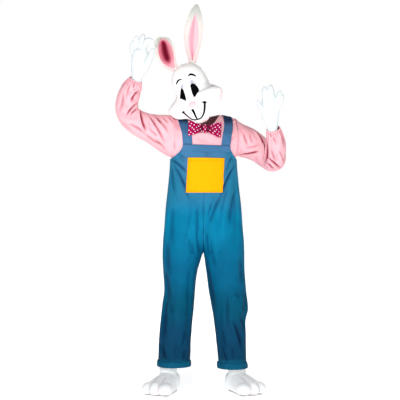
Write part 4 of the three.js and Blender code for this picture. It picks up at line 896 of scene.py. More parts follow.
for side, side_name in SIDES:
    surface = sleeve_surface(side)
    count, up = 112, 160
    u, v = np.meshgrid(np.arange(count) / count, np.linspace(0, 1, up + 1))
    base = surface(u, v)
    way = normals(surface, u, v, side)
    moved = sleeve_moved(side, u, v, base, way)
    outer = base + way * moved[..., None]
    # Each sleeve carries painted shade in its folds.
    cloth_piece(f"sleeve_{side_name}_cloth", f"sleeve_{side_name}", outer, outer - way * CLOTH,
                SHIRT_PINK, True,
                fold_painted_shade(moved, SHIRT_FOLD_SHADE, 8.0))

# ---------------------------------------------------------------- straps
# Two straight braces of doubled overalls cloth, stitched along both edges. They run from the bib over the
# shoulders to the back of the overalls.
STRAP_HALF_WIDTH = 24
STRAP_LIFT = 2.3
STRAP_AT = dict(bib=98, shoulder=121)


def shoulder_level(x):
    low = np.full(x.shape, float(ARMHOLE["z"] + ARMHOLE["half_height"]))
    high = np.full(x.shape, float(SHIRT["z"][-1]))
    for _ in range(20):
        z = (low + high) / 2
        wide = wide_at_neck(z) > np.abs(x)
        low, high = np.where(wide, z, low), np.where(wide, high, z)
    return low


def strap_surface(side):
    def at(u, v):
        along = 1 - 2 * v
        middle = side * lerp(STRAP_AT["bib"], STRAP_AT["shoulder"], 1 - along**2)
        x = middle + lerp(-1, 1, u) * STRAP_HALF_WIDTH
        top = shoulder_level(x)
        low = np.where(v < 0.5, BIB_TOP_Z + 1.2, BACK_TOP_Z + 2)
        z = top - (top - low) * np.abs(along) ** 2.4
        places = [shirt_at(face, np.arcsin(np.clip(x / shirt_wide(face, z), -1, 1)), z) for face in (-1, 1)]
        return np.where((v < 0.5)[..., None], *places)

    return at


def strap_moved(p, u, v):
    stitched = hem_roll(u, v, 2 * STRAP_HALF_WIDTH, 600, 0.5, 4.5) * 0.8
    return stitched + 0.35 * ripple(p[..., 0], p[..., 2], 60, 31) + np.maximum(shirt_moved(-1, p), 0)


strap_grids = {}
for side, side_name in SIDES:
    outer, inner = on_surface(strap_surface(side), 20, 150, STRAP_LIFT, CLOTH, 1, strap_moved)
    strap_grids[side] = outer
    cloth_piece(f"strap_{side_name}_cloth", f"strap_{side_name}", outer, inner,
                OVERALLS_BLUE)

# ---------------------------------------------------------------- stitches
# Even machine stitches along the pocket, the bib's facing, the straps, the centre seam and the back's top
# edge. One tree of nodes lays a short thread at each step of a line.
THREAD = dict(Pitch=0.0038, Length=0.0027, Radius=0.0004)
THREAD_SEED = 7


def stitch_tree(material):
    """Threads at an even pitch along the edges of a mesh of lines."""
    tree = bpy.data.node_groups.new("stitches", "GeometryNodeTree")
    tree.interface.new_socket("Lines", in_out="INPUT", socket_type="NodeSocketGeometry")
    for name, value in THREAD.items():
        tree.interface.new_socket(name, in_out="INPUT", socket_type="NodeSocketFloat").default_value = value
    tree.interface.new_socket("Threads", in_out="OUTPUT", socket_type="NodeSocketGeometry")
    given = add(tree, "NodeGroupInput")
    lines = add(tree, "GeometryNodeMeshToCurve", {0: given.outputs["Lines"]})
    steps = add(tree, "GeometryNodeResampleCurve",
                {"Curve": lines.outputs[0], "Length": given.outputs["Pitch"]}, mode="LENGTH")
    along = add(tree, "GeometryNodeInputTangent")
    turn = add(tree, "FunctionNodeAlignRotationToVector", {"Vector": along.outputs[0]}, axis="Z")
    thread = add(tree, "GeometryNodeMeshCylinder",
                 {"Radius": given.outputs["Radius"], "Depth": given.outputs["Length"]}, Vertices=6)
    uneven = add(tree, "FunctionNodeRandomValue", None, {2: 0.92, 3: 1.06}, data_type="FLOAT",
                 Seed=THREAD_SEED)
    placed = add(tree, "GeometryNodeInstanceOnPoints",
                 {"Points": steps.outputs[0], "Instance": thread.outputs[0], "Rotation": turn.outputs[0],
                  "Scale": uneven.outputs[1]})
    real = add(tree, "GeometryNodeRealizeInstances", {0: placed.outputs[0]})
    coloured = add(tree, "GeometryNodeSetMaterial", {0: real.outputs[0]}, Material=material)
    add(tree, "NodeGroupOutput", {0: coloured.outputs[0]})
    return tree


def stitches(name, lines, material, pitch=THREAD["Pitch"]):
    """A piece of stitches along lines of points in mm."""
    verts, edges = np.concatenate(lines), []
    start = 0
    for line in lines:
        edges += [(start + k, start + k + 1) for k in range(len(line) - 1)]
        start += len(line)
    mesh = bpy.data.meshes.new(name)
    mesh.from_pydata((verts / 1000 - SOLES / 1000).tolist(), edges, [])
    obj = bpy.data.objects.new(name, mesh)
    bpy.context.scene.collection.objects.link(obj)
    sew = obj.modifiers.new("sew", "NODES")
    sew.node_group = stitch_tree(material)
    for item in sew.node_group.interface.items_tree:
        if item.name == "Pitch":
            sew[item.identifier] = pitch
    graph = bpy.context.evaluated_depsgraph_get()
    obj.data = bpy.data.meshes.new_from_object(obj.evaluated_get(graph))
    obj.modifiers.clear()
    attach(obj, "root")


def inside_line(grid, mm, edge):
    """A line of points a few mm inside one edge of a grid of cloth: low, high, left or right."""
    rows = grid if edge in ("low", "high") else grid.transpose(1, 0, 2)
    rows = rows if edge in ("low", "left") else rows[::-1]
    run = np.concatenate([[0], np.linalg.norm(np.diff(rows, axis=0), axis=2).mean(1).cumsum()])
    at = int(np.clip(np.searchsorted(run, mm), 1, len(run) - 1))
    share = (mm - run[at - 1]) / (run[at] - run[at - 1])
    return lerp(rows[at - 1], rows[at], share)


def raised(line, mm=0.2):
    """The line, a little in front of the cloth (behind it at the back)."""
    return line + np.array([0, -mm, 0]) * np.where(line[:, 1:2] < 0, 1, -1)


def trimmed(line, mm):
    """The line without its last few mm at each end."""
    run = np.concatenate([[0], np.linalg.norm(np.diff(line, axis=0), axis=1).cumsum()])
    return line[(run > mm) & (run < run[-1] - mm)]


# Spun polyester thread, drawn thicker than the real 0.3 mm so that the rows can be seen.
BLUE_THREAD = plain("polyester_thread_blue", "#3E7FA8", 0.7, 0.05)
YELLOW_THREAD = plain("polyester_thread_yellow", "#D08400", 0.7, 0.05)
pocket_lines = [raised(trimmed(inside_line(pocket_grid, mm, edge), mm - 1)) for mm in (4.5, 10.0)
                for edge in ("low", "left", "right")]
pocket_lines += [raised(trimmed(inside_line(pocket_grid, mm, "high"), 2)) for mm in (15.0, 18.0)]
stitches("pocket_stitches", pocket_lines, YELLOW_THREAD)
blue_lines = [raised(trimmed(inside_line(band_grid, mm, edge), 3))
              for mm, edge in ((3.5, "low"), (4.0, "high"))]
blue_lines += [raised(trimmed(inside_line(strap_grids[side], 4.5, edge), 6))
               for side in (-1, 1) for edge in ("left", "right")]
for side in (-1, 1):
    for face in (-1, 1):
        seam = inside_line(overalls_edges[face, side], 6.0, "left")
        seam_top = POCKET["low"] - 4 if face < 0 else BACK_TOP_Z - 6
        blue_lines.append(raised(seam[(seam[:, 2] > CROTCH_Z + 40) & (seam[:, 2] < seam_top)]))
        if face > 0:
            blue_lines.append(raised(trimmed(inside_line(overalls_edges[face, side], 8.0, "high"), 4)))
stitches("overalls_stitches", blue_lines, BLUE_THREAD)

# ---------------------------------------------------------------- head mask
# A moulded white shell that goes over the whole head, open at the neck: a round skull, a short muzzle and
# full cheeks. The face is painted on, the nose is a soft pink ball, and the cheeks have a pink blush.
HEAD = dict(x=-70, y=-82, z=1596, roll=-25, pitch=6, yaw=-16)
MASK_WALL = 3.0
MASK = table(
    "z wide front back muzzle cheek",
    (-212, 58, 70, 74, 4, 0), (-203, 61, 76, 78, 30, 0), (-186, 66, 84, 83, 54, 10),
    (-165, 70, 91, 87, 60, 36), (-140, 75, 95, 92, 58, 66), (-112, 81, 98, 98, 52, 79),
    (-90, 85, 99, 102, 34, 78), (-72, 88, 100, 105, 17, 58), (-54, 90, 100, 108, 6, 24),
    (-36, 91, 99, 110, 0, 2), (0, 91, 98, 111, 0, 0), (34, 86, 92, 104, 0, 0), (62, 73, 79, 88, 0, 0),
    (82, 54, 59, 65, 0, 0), (95, 29, 32, 35, 0, 0), (99, 8, 9, 10, 0, 0))
NECK_EDGE = table(
    "turn z",
    (-180, -160), (-150, -140), (-120, -122), (-90, -114), (-58, -148), (-38, -166), (-20, -206), (0, -212),
    (20, -206), (38, -166), (58, -150), (90, -146), (120, -150), (150, -157), (180, -160))
NECK_FROM_Z = -90
CROWN_Z = 100
MUZZLE_SPREAD = math.radians(30)
CHEEK_TURN = math.radians(62)
CHEEK_SPREAD = math.radians(27)
mask_curves = {k: curve(MASK, "z", k) for k in "wide front back muzzle cheek".split()}
neck_edge = curve(NECK_EDGE, "turn", "z")


def turned(axis, degrees):
    c, s = math.cos(math.radians(degrees)), math.sin(math.radians(degrees))
    return np.array({"x": [[1, 0, 0], [0, c, -s], [0, s, c]], "y": [[c, 0, s], [0, 1, 0], [-s, 0, c]],
                     "z": [[c, -s, 0], [s, c, 0], [0, 0, 1]]}[axis])


HEAD_TURN = turned("y", HEAD["roll"]) @ turned("x", HEAD["pitch"]) @ turned("z", HEAD["yaw"])


def on_head(p):
    return p @ HEAD_TURN.T + np.array([HEAD[k] for k in "xyz"])


def mask_at(turn, z, inset_by=0.0):
    """A place on the mask in its own frame, by its turn round from the front and its level."""
    turn = np.arctan2(np.sin(turn), np.cos(turn))
    depth = np.where(np.cos(turn) > 0, mask_curves["front"](z), mask_curves["back"](z))
    base = 1 / np.hypot(np.sin(turn) / mask_curves["wide"](z), np.cos(turn) / depth)
    muzzle = np.maximum(0, mask_curves["muzzle"](z)) * np.exp(-((turn / MUZZLE_SPREAD) ** 2))
    spread = np.exp(-(((np.abs(turn) - CHEEK_TURN) / CHEEK_SPREAD) ** 2))
    cheek = np.maximum(0, mask_curves["cheek"](z)) * spread
    radius = base + muzzle + cheek - inset_by
    return points(radius * np.sin(turn), -radius * np.cos(turn), z)


def ring_level(z, turn):
    low = neck_edge(np.degrees(np.arctan2(np.sin(turn), np.cos(turn))))
    lowest = MASK["z"][0]
    stretched = NECK_FROM_Z + (z - NECK_FROM_Z) * (low - NECK_FROM_Z) / (lowest - NECK_FROM_Z)
    return np.where(z > NECK_FROM_Z, z, stretched)


MASK_WHITE = "#FAF9F7"
BLUSH = "#F7C3C6"
SHADE = "#B4AEB8"


def painted(name, roughness, coat=0.0, grain=0.0, sheen=0.0, shine=0.5):
    """A surface that takes its colour from the paint on each point, with a fine grain in its surface."""
    material, tree, output = new_material(name)
    paint = add(tree, "ShaderNodeVertexColor", layer_name="paint")
    links = {"Base Color": paint.outputs["Color"]}
    if grain:
        where = add(tree, "ShaderNodeTexCoord")
        noise = add(tree, "ShaderNodeTexNoise", {"Vector": where.outputs["Object"]}, Scale=420.0, Detail=4.0)
        bump = add(tree, "ShaderNodeBump", {"Height": noise.outputs["Fac"]}, Strength=grain, Distance=0.0006)
        links["Normal"] = bump.outputs[0]
    shader = add(tree, "ShaderNodeBsdfPrincipled", links, Roughness=roughness, Coat_Weight=coat,
                 Sheen_Weight=sheen, Specular_IOR_Level=shine)
    tree.links.new(shader.outputs[0], output.inputs[0])
    return material


# Moulded foam latex with a painted skin: smooth, a little soft in its shine, with a very fine grain.
MASK_PAINT = painted("foam_latex_white", 0.5, 0.05, 0.12)
# Matt acrylic paint with no shine to lift it: flat black, and a pale grey that is painted shade over the
# creases above the eyes.
EYE_BLACK = plain("acrylic_paint_black", "#020205", 0.7, 0.04)
LID_SHADE_GREY = plain("painted_shade_grey", "#B7B3C2", 0.6)
# Flocked rubber: a soft pink with a dull glow.
NOSE_PINK = plain("flocked_rubber_pink", "#EFC3C6", 0.5)


DENTS = table(
    "x z wide tall depth",
    (-36, -46, 24, 36, 3), (30, -44, 24, 38, 3), (54, -122, 9, 11, 3), (-72, -122, 9, 10, 3))
BRIDGE = dict(z=-60, half_wide=12, half_tall=45, high=3.0)


def mask_sculpt(turn, z):
    """Finer forms of the face: eye sockets, dimples at the mouth's ends, the bridge of the nose, and the
    dent above each cheek."""
    p = mask_at(turn, z)
    x = p[..., 0]
    front = smooth(np.cos(turn), 0.1, 0.5)
    moved = np.zeros(x.shape)
    for at_x, at_z, wide, tall, depth in zip(*DENTS.values()):
        moved -= depth * np.exp(-(((x - at_x) / wide) ** 2) - ((z - at_z) / tall) ** 2)
    rise = np.exp(-((x / BRIDGE["half_wide"]) ** 2) - ((z - BRIDGE["z"]) / BRIDGE["half_tall"]) ** 2)
    moved += BRIDGE["high"] * rise
    for side in (-1, 1):
        over = (z + 64 + 0.12 * (np.abs(x) - 60)) / 7
        dent = (5.0 if side > 0 else 2.5) * np.exp(-(over**2))
        moved -= dent * smooth(np.abs(x), 30, 60) * (np.sign(x) == side)
    return moved * front


def mask_grid(turns, levels, inset_by=0.0, sculpted=True):
    turn, z = np.meshgrid(turns, levels)
    z = ring_level(z, turn)
    moved = mask_sculpt(turn, z) if sculpted else 0
    return on_head(mask_at(turn, z, inset_by - moved)), turn, z


def mask_colour(turn, z):
    """White, with a pink blush on the cheeks and chin, and painted shade, a soft grey, in the dent above each
    cheek.
    """
    p = mask_at(turn, z)
    white, blush, shade = (linear(c) for c in (MASK_WHITE, BLUSH, SHADE))
    cheek = np.exp(-(((np.abs(np.degrees(turn)) - 50) / 20) ** 2) - ((z + 122) / 26) ** 2)
    chin = 0.35 * np.exp(-((np.degrees(turn) / 60) ** 2) - ((z + 205) / 16) ** 2)
    colour = lerp(white, blush, np.clip(0.75 * cheek + chin, 0, 1)[..., None])
    dent = np.exp(-(((z + 62) / 8) ** 2)) * smooth(np.abs(p[..., 0]), 24, 56) * (np.cos(turn) > 0)
    dent = dent * np.where(p[..., 0] > 0, 1.0, 0.3)
    return lerp(colour, shade, np.clip(0.7 * dent, 0, 1)[..., None])


turns = np.arange(180) / 180 * 2 * np.pi
levels = np.concatenate([np.linspace(-212, -50, 76, endpoint=False), np.linspace(-50, 80, 38, endpoint=False),
                         CROWN_Z - 20 * (1 - np.linspace(0, 0.985, 16)) ** 2])
outer, turn, z = mask_grid(turns, levels)
inner, _, _ = mask_grid(turns, np.minimum(levels, 94), MASK_WALL, False)
head_middle = on_head(np.array([0, 0, 0]))
inner[levels > 88] = (inner[levels > 88] - head_middle) * 0.995 + head_middle
paint = mask_colour(turn, z)


def capped_shell(name, outer, inner, material, colours):
    """A closed tube wall whose top is also closed over, inside and outside."""
    rows, wide = outer.shape[:2]
    verts = np.concatenate([outer.reshape(-1, 3), inner.reshape(-1, 3),
                            [outer[-1].mean(0), inner[-1].mean(0)]])
    shift = rows * wide
    faces = grid_faces(rows, wide, True) + grid_faces(rows, wide, True, shift, True)
    top = (rows - 1) * wide
    for i in range(wide):
        k = (i + 1) % wide
        faces += [(i, i + shift, k + shift, k), (top + i, top + k, 2 * shift),
                  (top + shift + k, top + shift + i, 2 * shift + 1)]
    paint_all = np.concatenate([colours.reshape(-1, 3)] * 2 + [colours[-1, :2]])
    return mesh_object(name, verts, outward(verts, faces), material, None, paint_all)


finish_piece(capped_shell("mask_shell", outer, inner, MASK_PAINT, paint), "mask")


def mask_turn_at(x, z):
    """The turn at which the mask's surface lies at a sideways place x and a level z of the head."""
    low, high = np.full(np.shape(x), -1.9), np.full(np.shape(x), 1.9)
    for _ in range(40):
        mid = (low + high) / 2
        beyond = mask_at(mid, z, -mask_sculpt(mid, z))[..., 0] > x
        low, high = np.where(beyond, low, mid), np.where(beyond, mid, high)
    return (low + high) / 2


def face_place(x, z, lift):
    """A point on the painted face, lift mm off it, by its sideways place and level on the head."""
    def f(a, b):
        return on_head(mask_at(a, b, -mask_sculpt(a, b)))
    turn = mask_turn_at(x, z)
    return f(turn, z) + normals(f, turn, z, 1) * lift


def closed_outline(outline, count):
    """A smooth closed curve through outline points."""
    n = len(outline)
    t = np.arange(count) / count * n
    i, s = t.astype(int), (t % 1)[:, None]
    p = np.array(outline, float)
    a, b, c, d = p[(i - 1) % n], p[i % n], p[(i + 1) % n], p[(i + 2) % n]
    return 0.5 * (2 * b + (c - a) * s + (2 * a - 5 * b + 4 * c - d) * s**2 + (3 * b - a - 3 * c + d) * s**3)


def decal(name, outline, material, lift=0.8, thick=0.6, count=72, rings=10):
    """A flat painted shape on the face, inside an outline of (x, z) places."""
    edge = closed_outline(outline, count)
    middle = edge.mean(0)
    share = np.linspace(0, 1, rings + 1)[1:]
    flat = middle + (edge - middle)[None] * share[:, None, None]
    top = np.concatenate([face_place(flat[..., 0], flat[..., 1], lift + thick).reshape(-1, 3),
                          face_place(middle[:1], middle[1:], lift + thick)])
    under = np.concatenate([face_place(flat[..., 0], flat[..., 1], lift).reshape(-1, 3),
                            face_place(middle[:1], middle[1:], lift)])
    n, shift = rings * count, rings * count + 1
    faces = grid_faces(rings, count, True, 0, True) + grid_faces(rings, count, True, shift)
    for i in range(count):
        k = (i + 1) % count
        faces += [(i, k, n), (k + shift, i + shift, n + shift)]
        a, b = (rings - 1) * count + i, (rings - 1) * count + k
        faces.append((a, a + shift, b + shift, b))
    verts = np.concatenate([top, under])
    return mesh_object(name, verts, outward(verts, faces), material)


def stroke(name, line, widths, material, lift=0.4, thick=0.5):
    """A brush line on the face along (x, z) places, with a width at each."""
    p = np.array(line, float)
    t = np.linspace(0, len(p) - 1, 14 * (len(p) - 1) + 1)
    rows = dict(t=np.arange(len(p), dtype=float), x=p[:, 0], z=p[:, 1], w=np.array(widths, float))
    x, z, w = (curve(rows, "t", k)(t) for k in "xzw")
    dx, dz = np.gradient(x), np.gradient(z)
    size = np.hypot(dx, dz)
    nx, nz = -dz / size, dx / size
    s = np.array([-1, -0.5, 0, 0.5, 1])[None] * (w / 2)[:, None]
    gx, gz = x[:, None] + nx[:, None] * s, z[:, None] + nz[:, None] * s
    outer, inner = face_place(gx, gz, lift + thick), face_place(gx, gz, lift)
    return shell(name, outer, inner, material)


# Places on the face, sideways from its middle and up from the head's centre, in mm.
EYES = {
    "right": [(-32, -10), (-24, -17), (-26, -41), (-29, -74), (-41, -68), (-51, -60), (-60, -52), (-47, -28)],
    "left": [(19, -14), (31, -10), (42, -22), (47, -40), (48, -58), (34, -67), (19, -77), (13, -62),
             (13, -38)],
}
# The grey lids are painted shade over the creases above the eyes.
LIDS = {"right": [(-37, -7), (-14, 9), (-18, -13)], "left": [(21, -5), (34, 9), (42, -6), (46, -24)]}
for side_name, outline in EYES.items():
    finish_piece(decal(f"eye_{side_name}_paint", outline, EYE_BLACK, 1.0), f"eye_{side_name}")
lids = [decal(f"lid_{side_name}", outline, LID_SHADE_GREY, 0.6, 0.4, 36, 5) for side_name, outline in LIDS.items()]
brows = [
    stroke("brow_right", [(-48, 19), (-38, 28), (-25, 33), (-9, 30)], [6, 9, 8, 4], EYE_BLACK),
    stroke("brow_left", [(27, 31), (38, 35), (49, 28), (60, 14)], [5, 9.5, 9, 4], EYE_BLACK),
]
mouth = [
    stroke("smile", [(-70, -122), (-60, -143), (-49, -162), (-30, -178), (-9, -184), (11, -183), (29, -171),
                     (42, -152), (54, -125)], [10, 9, 8, 7, 6.5, 6.5, 7, 8, 9], EYE_BLACK),
    stroke("lip", [(-10, -126), (-8, -146), (-9, -165), (-10, -182)], [14, 12, 10, 8], EYE_BLACK),
    stroke("dimple_right", [(-78, -125), (-69, -121), (-60, -122)], [5, 9, 5], EYE_BLACK),
    stroke("dimple_left", [(46, -117), (54, -120), (62, -127)], [6, 12, 6], EYE_BLACK),
]
for obj in lids + brows + mouth:
    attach(obj, "root")

# The nose: a small soft ball, a little flat on top.
BALL_ROUND, BALL_ROWS = 40, 22
u, v = np.meshgrid(np.arange(BALL_ROUND) / BALL_ROUND * 2 * np.pi, np.linspace(0.02, 0.98, BALL_ROWS) * np.pi)
ball = points(18 * np.sin(v) * np.cos(u), -8 * np.cos(v) - 6,
              15 * np.sin(v) * np.sin(u) * (1 - 0.12 * np.sin(u)))
nose_base = mask_at(0.0, -106.0)
verts = on_head(ball + nose_base).reshape(-1, 3)
faces = grid_faces(BALL_ROWS, BALL_ROUND, True)
faces += [tuple(range(BALL_ROUND))[::-1], tuple((BALL_ROWS - 1) * BALL_ROUND + i for i in range(BALL_ROUND))]
finish_piece(mesh_object("nose_ball", verts, outward(verts, faces), NOSE_PINK), "nose")

# ---------------------------------------------------------------- ears
# Two long ears of white plush with a pink lining, troughed towards the front. The left one stands up. The
# right one folds over at the top, so that its tip comes down beside the raised hand.
EARS = {
    "left": table(
        "x y z fx fy fz half curl",
        (-58, -80, 1695.8, 0.1, -1, 0, 16, 12), (-57, -75, 1735, 0.05, -1, 0, 27, 17),
        (-55, -74, 1780, 0, -1, 0.02, 39, 18), (-52, -72, 1835, 0, -1, 0.04, 47, 17),
        (-47, -69, 1890, 0, -1, 0.05, 43, 15), (-42, -64, 1940, 0, -1, 0.06, 32, 12),
        (-38, -58, 1978, 0, -1, 0.08, 18, 7), (-36, -54, 2001, 0, -1, 0.1, 3, 1)),
    "right": table(
        "x y z fx fy fz half curl",
        (-141, -86, 1665.6, -0.25, -1, -0.1, 16, 12), (-160, -85, 1683, -0.25, -1, -0.1, 28, 17),
        (-177, -92, 1708, -0.2, -1, -0.15, 42, 22), (-189, -103, 1742, -0.15, -1, -0.25, 48, 24),
        (-197, -115, 1778, -0.15, -0.95, -0.45, 48, 20), (-206, -136, 1804, -0.15, -0.75, -0.75, 42, 13),
        (-221, -157, 1808, -0.25, -0.55, -0.85, 28, 7), (-236, -170, 1792, -0.35, -0.5, -0.8, 12, 3),
        (-243, -175, 1778, -0.35, -0.5, -0.8, 4, 1)),
}
EAR_WALL = 6.0
INNER_EAR = dict(low=0.04, to=dict(left=0.74, right=0.7), share=dict(left=0.56, right=0.8), lift=2.8,
                 thickness=1.4)
EAR_WHITE, EAR_TINT, EAR_TIP_SHADE = (linear(code) for code in ("#DCDFD8", "#F3C4C6", "#B4B8B0"))
LINING_PINK, LINING_PALE, LINING_RED_SHADE, LINING_DEEP_SHADE = (
    linear(code) for code in ("#E39FAD", "#FBC9D2", "#B5304D", "#5E0820"))
# Short polyester plush and a satin lining: the pile is white and dull, with painted shade greying the
# standing ear's tip and the bent ear's folded-over top. The lining is pink, with painted shade going to deep
# red down in the folded ear and at the standing ear's base.
EAR_PLUSH = painted("polyester_plush_shaded", 0.85, 0, 0.35, 0.1, 0.1)
EAR_SATIN = painted("lining_satin_pink", 0.8, 0, 0.2, 0.0, 0.06)


def ear_surface(rows):
    line = dict(rows, at=np.arange(len(rows["x"]), dtype=float))
    last = len(rows["x"]) - 1
    c = {k: curve(line, "at", k) for k in rows}

    def middle(t):
        return points(c["x"](t), c["y"](t), c["z"](t))

    def at(u, v):
        t = v * last
        along = unit(middle(t + 0.05) - middle(t - 0.05))
        facing = points(c["fx"](t), c["fy"](t), c["fz"](t))
        across = unit(np.cross(along, facing))
        forward = unit(np.cross(across, along))
        s = lerp(-1, 1, u)
        return (middle(t) + across * (s * np.maximum(c["half"](t), 1))[..., None]
                + forward * (c["curl"](t) * s * s)[..., None])

    return at


for side_name, rows in EARS.items():
    whole = ear_surface(rows)
    u, v = np.meshgrid(np.linspace(0, 1, 35), np.linspace(0, 1, 97))
    base = whole(u, v)
    front = normals(whole, u, v, 1)
    soft = 1.6 * np.sin(u * np.pi) * smooth(v, 0, 0.1) + 0.8 * ripple(u * 90, v * 320, 60, 41)
    edge = np.sqrt(np.clip(1 - (2 * u - 1) ** 2, 0, 1))
    thick = EAR_WALL * (0.35 + 0.65 * edge**0.5)
    outer, inner = base + front * (np.minimum(soft, 1.2) - 0.6)[..., None], base - front * thick[..., None]
    colours = lerp(EAR_WHITE, EAR_TINT, (0.7 * (1 - v) * smooth(np.abs(2 * u - 1), 0.2, 1))[..., None])
    # Painted shade greys the top of the standing ear and the folded-over top of the bent one.
    tip = smooth(v, 0.5, 0.95) if side_name == "left" else 0.6 * smooth(v, 0.3, 0.6)
    colours = lerp(colours, EAR_TIP_SHADE, tip[..., None])
    ear = finish_piece(shell(f"ear_{side_name}_plush", outer, inner, EAR_PLUSH, False, colours),
                       f"ear_{side_name}")

    def lining_at(a, b, whole=whole, side_name=side_name):
        round_end = np.maximum(np.sin(np.pi * np.clip(0.08 + 0.9 * b, 0, 1)), 1e-6) ** 0.6
        share = INNER_EAR["share"][side_name] * np.maximum(0.12, round_end)
        return whole(0.5 + (a - 0.5) * share, lerp(INNER_EAR["low"], INNER_EAR["to"][side_name], b))

    outer, inner = on_surface(lining_at, 30, 72, INNER_EAR["lift"] - INNER_EAR["thickness"],
                              INNER_EAR["thickness"])
    a, b = np.meshgrid(np.linspace(0, 1, 31), np.linspace(0, 1, 73))
    pale = 0.8 * np.exp(-(((a - 0.72) / 0.16) ** 2)) * smooth(b, 0.05, 0.4)
    colours = lerp(LINING_PINK, LINING_PALE, pale[..., None])
    if side_name == "right":
        # Painted shade: the lining goes red and then deep red down in the fold of the bent ear.
        reach = smooth(b, 0.06, 0.4) * (1 - smooth(b, 0.8, 1.0))
        colours = lerp(colours, LINING_RED_SHADE, (np.exp(-(((a - 0.46) / 0.46) ** 2)) * reach)[..., None])
        trough = 1.15 * np.exp(-(((a - 0.44) / 0.24) ** 2)) * smooth(b, 0.16, 0.42)
        trough = trough * (1 - smooth(b, 0.74, 0.96))
    else:
        colours = lerp(colours, LINING_PALE, (0.7 * smooth(np.abs(2 * a - 1), 0.45, 1.0))[..., None])
        # Painted shade: deep red at the base of the standing ear's lining.
        trough = 0.4 * smooth(1 - b, 0.55, 0.95) * np.exp(-(((a - 0.45) / 0.2) ** 2))
    colours = lerp(colours, LINING_DEEP_SHADE, np.clip(trough, 0, 1)[..., None])
    lining = finish_piece(shell(f"ear_lining_{side_name}_cloth", outer, inner, EAR_SATIN, False, colours),
                          f"ear_lining_{side_name}")

# ---------------------------------------------------------------- bow tie
# A soft pre-tied bow in magenta satin with small white spots: two flared wings pleated into a wrapped knot.
BOW = dict(x=6, y=-116.5, z=1357, tilt=3, yaw=9)
WING = table(
    "out high low deep",
    (11, 17, 17, 7), (26, 21, 21, 10), (46, 28, 30, 11), (66, 34, 38, 10), (82, 37, 42, 5),
    (85, 36, 41, 1.2))
PLEATS = table(
    "at drift width depth",
    (-0.45, -0.25, 0.16, 4.2), (0.05, 0.1, 0.15, 4.6), (0.5, 0.2, 0.15, 3.8), (-0.15, -0.05, 0.1, 2.4))
BOW_GATHER_SHADE = "#5E2A44"  # painted shade, deep in the gathers beside the knot
BOW_TURN = turned("z", BOW["yaw"]) @ turned("y", BOW["tilt"])


def bow_place(p):
    return p @ BOW_TURN.T + np.array([BOW[k] for k in "xyz"])


def spotted(name, code, spot_code, pitch=22.0, radius=2.9):
    """Satin with a staggered repeat of round spots, laid out in mm over the cloth."""
    material, tree, output = new_material(name)
    place = add(tree, "ShaderNodeUVMap", uv_map="mm")
    parts = add(tree, "ShaderNodeSeparateXYZ", {0: place.outputs[0]})
    spots = []
    for shift in (0.0, 0.5):
        squares = []
        for axis in (0, 1):
            cell = add(tree, "ShaderNodeMath", {0: parts.outputs[axis]}, {1: pitch}, operation="DIVIDE")
            moved = add(tree, "ShaderNodeMath", {0: cell.outputs[0]}, {1: shift + 10.0}, operation="ADD")
            part = add(tree, "ShaderNodeMath", {0: moved.outputs[0]}, operation="FRACT")
            off = add(tree, "ShaderNodeMath", {0: part.outputs[0]}, {1: 0.5}, operation="SUBTRACT").outputs[0]
            squares.append(add(tree, "ShaderNodeMath", {0: off, 1: off}, operation="MULTIPLY").outputs[0])
        total = add(tree, "ShaderNodeMath", dict(enumerate(squares)), operation="ADD")
        away = add(tree, "ShaderNodeMath", {0: total.outputs[0]}, operation="SQRT")
        inside = add(tree, "ShaderNodeMath", {0: away.outputs[0]}, {1: radius / pitch}, operation="LESS_THAN")
        spots.append(inside.outputs[0])
    either = add(tree, "ShaderNodeMath", dict(enumerate(spots)), operation="MAXIMUM")
    mix = add(tree, "ShaderNodeMix", {0: either.outputs[0]},
              {6: (*linear(code), 1), 7: (*linear(spot_code), 1)}, data_type="RGBA")
    paint = add(tree, "ShaderNodeVertexColor", layer_name="paint")
    tint = add(tree, "ShaderNodeMix", {6: mix.outputs[2], 7: paint.outputs[0]}, {0: 1.0},
               data_type="RGBA", blend_type="MULTIPLY")
    shader = add(tree, "ShaderNodeBsdfPrincipled", {"Base Color": tint.outputs[2]}, Roughness=0.5,
                 Specular_IOR_Level=0.05)
    tree.links.new(shader.outputs[0], output.inputs[0])
    return material


# Printed polyester satin: a strong magenta with white spots, and painted shade that goes dark in its gathers.
BOW_MAGENTA = spotted("polyester_satin_magenta", "#9C0049", "#F6DDE6")
wing = {k: curve(WING, "out", k) for k in ("high", "low", "deep")}


def tube_mesh(name, rings, material, uv, colours=None):
    """A closed skin over rings, with both ends capped by a point."""
    rows, wide = rings.shape[:2]
    verts = np.concatenate([rings.reshape(-1, 3), [rings[0].mean(0), rings[-1].mean(0)]])
    faces = grid_faces(rows, wide, True)
    top, n = (rows - 1) * wide, rows * wide
    for i in range(wide):
        faces += [((i + 1) % wide, i, n), (top + i, top + (i + 1) % wide, n + 1)]
    uv_all = np.concatenate([uv.reshape(-1, 2), [uv[0].mean(0), uv[-1].mean(0)]])
    colours = np.ones(rings.shape) if colours is None else colours
    paint_all = np.concatenate([colours.reshape(-1, 3), [colours[0].mean(0), colours[-1].mean(0)]])
    return mesh_object(name, verts, outward(verts, faces), material, uv_all, paint_all)


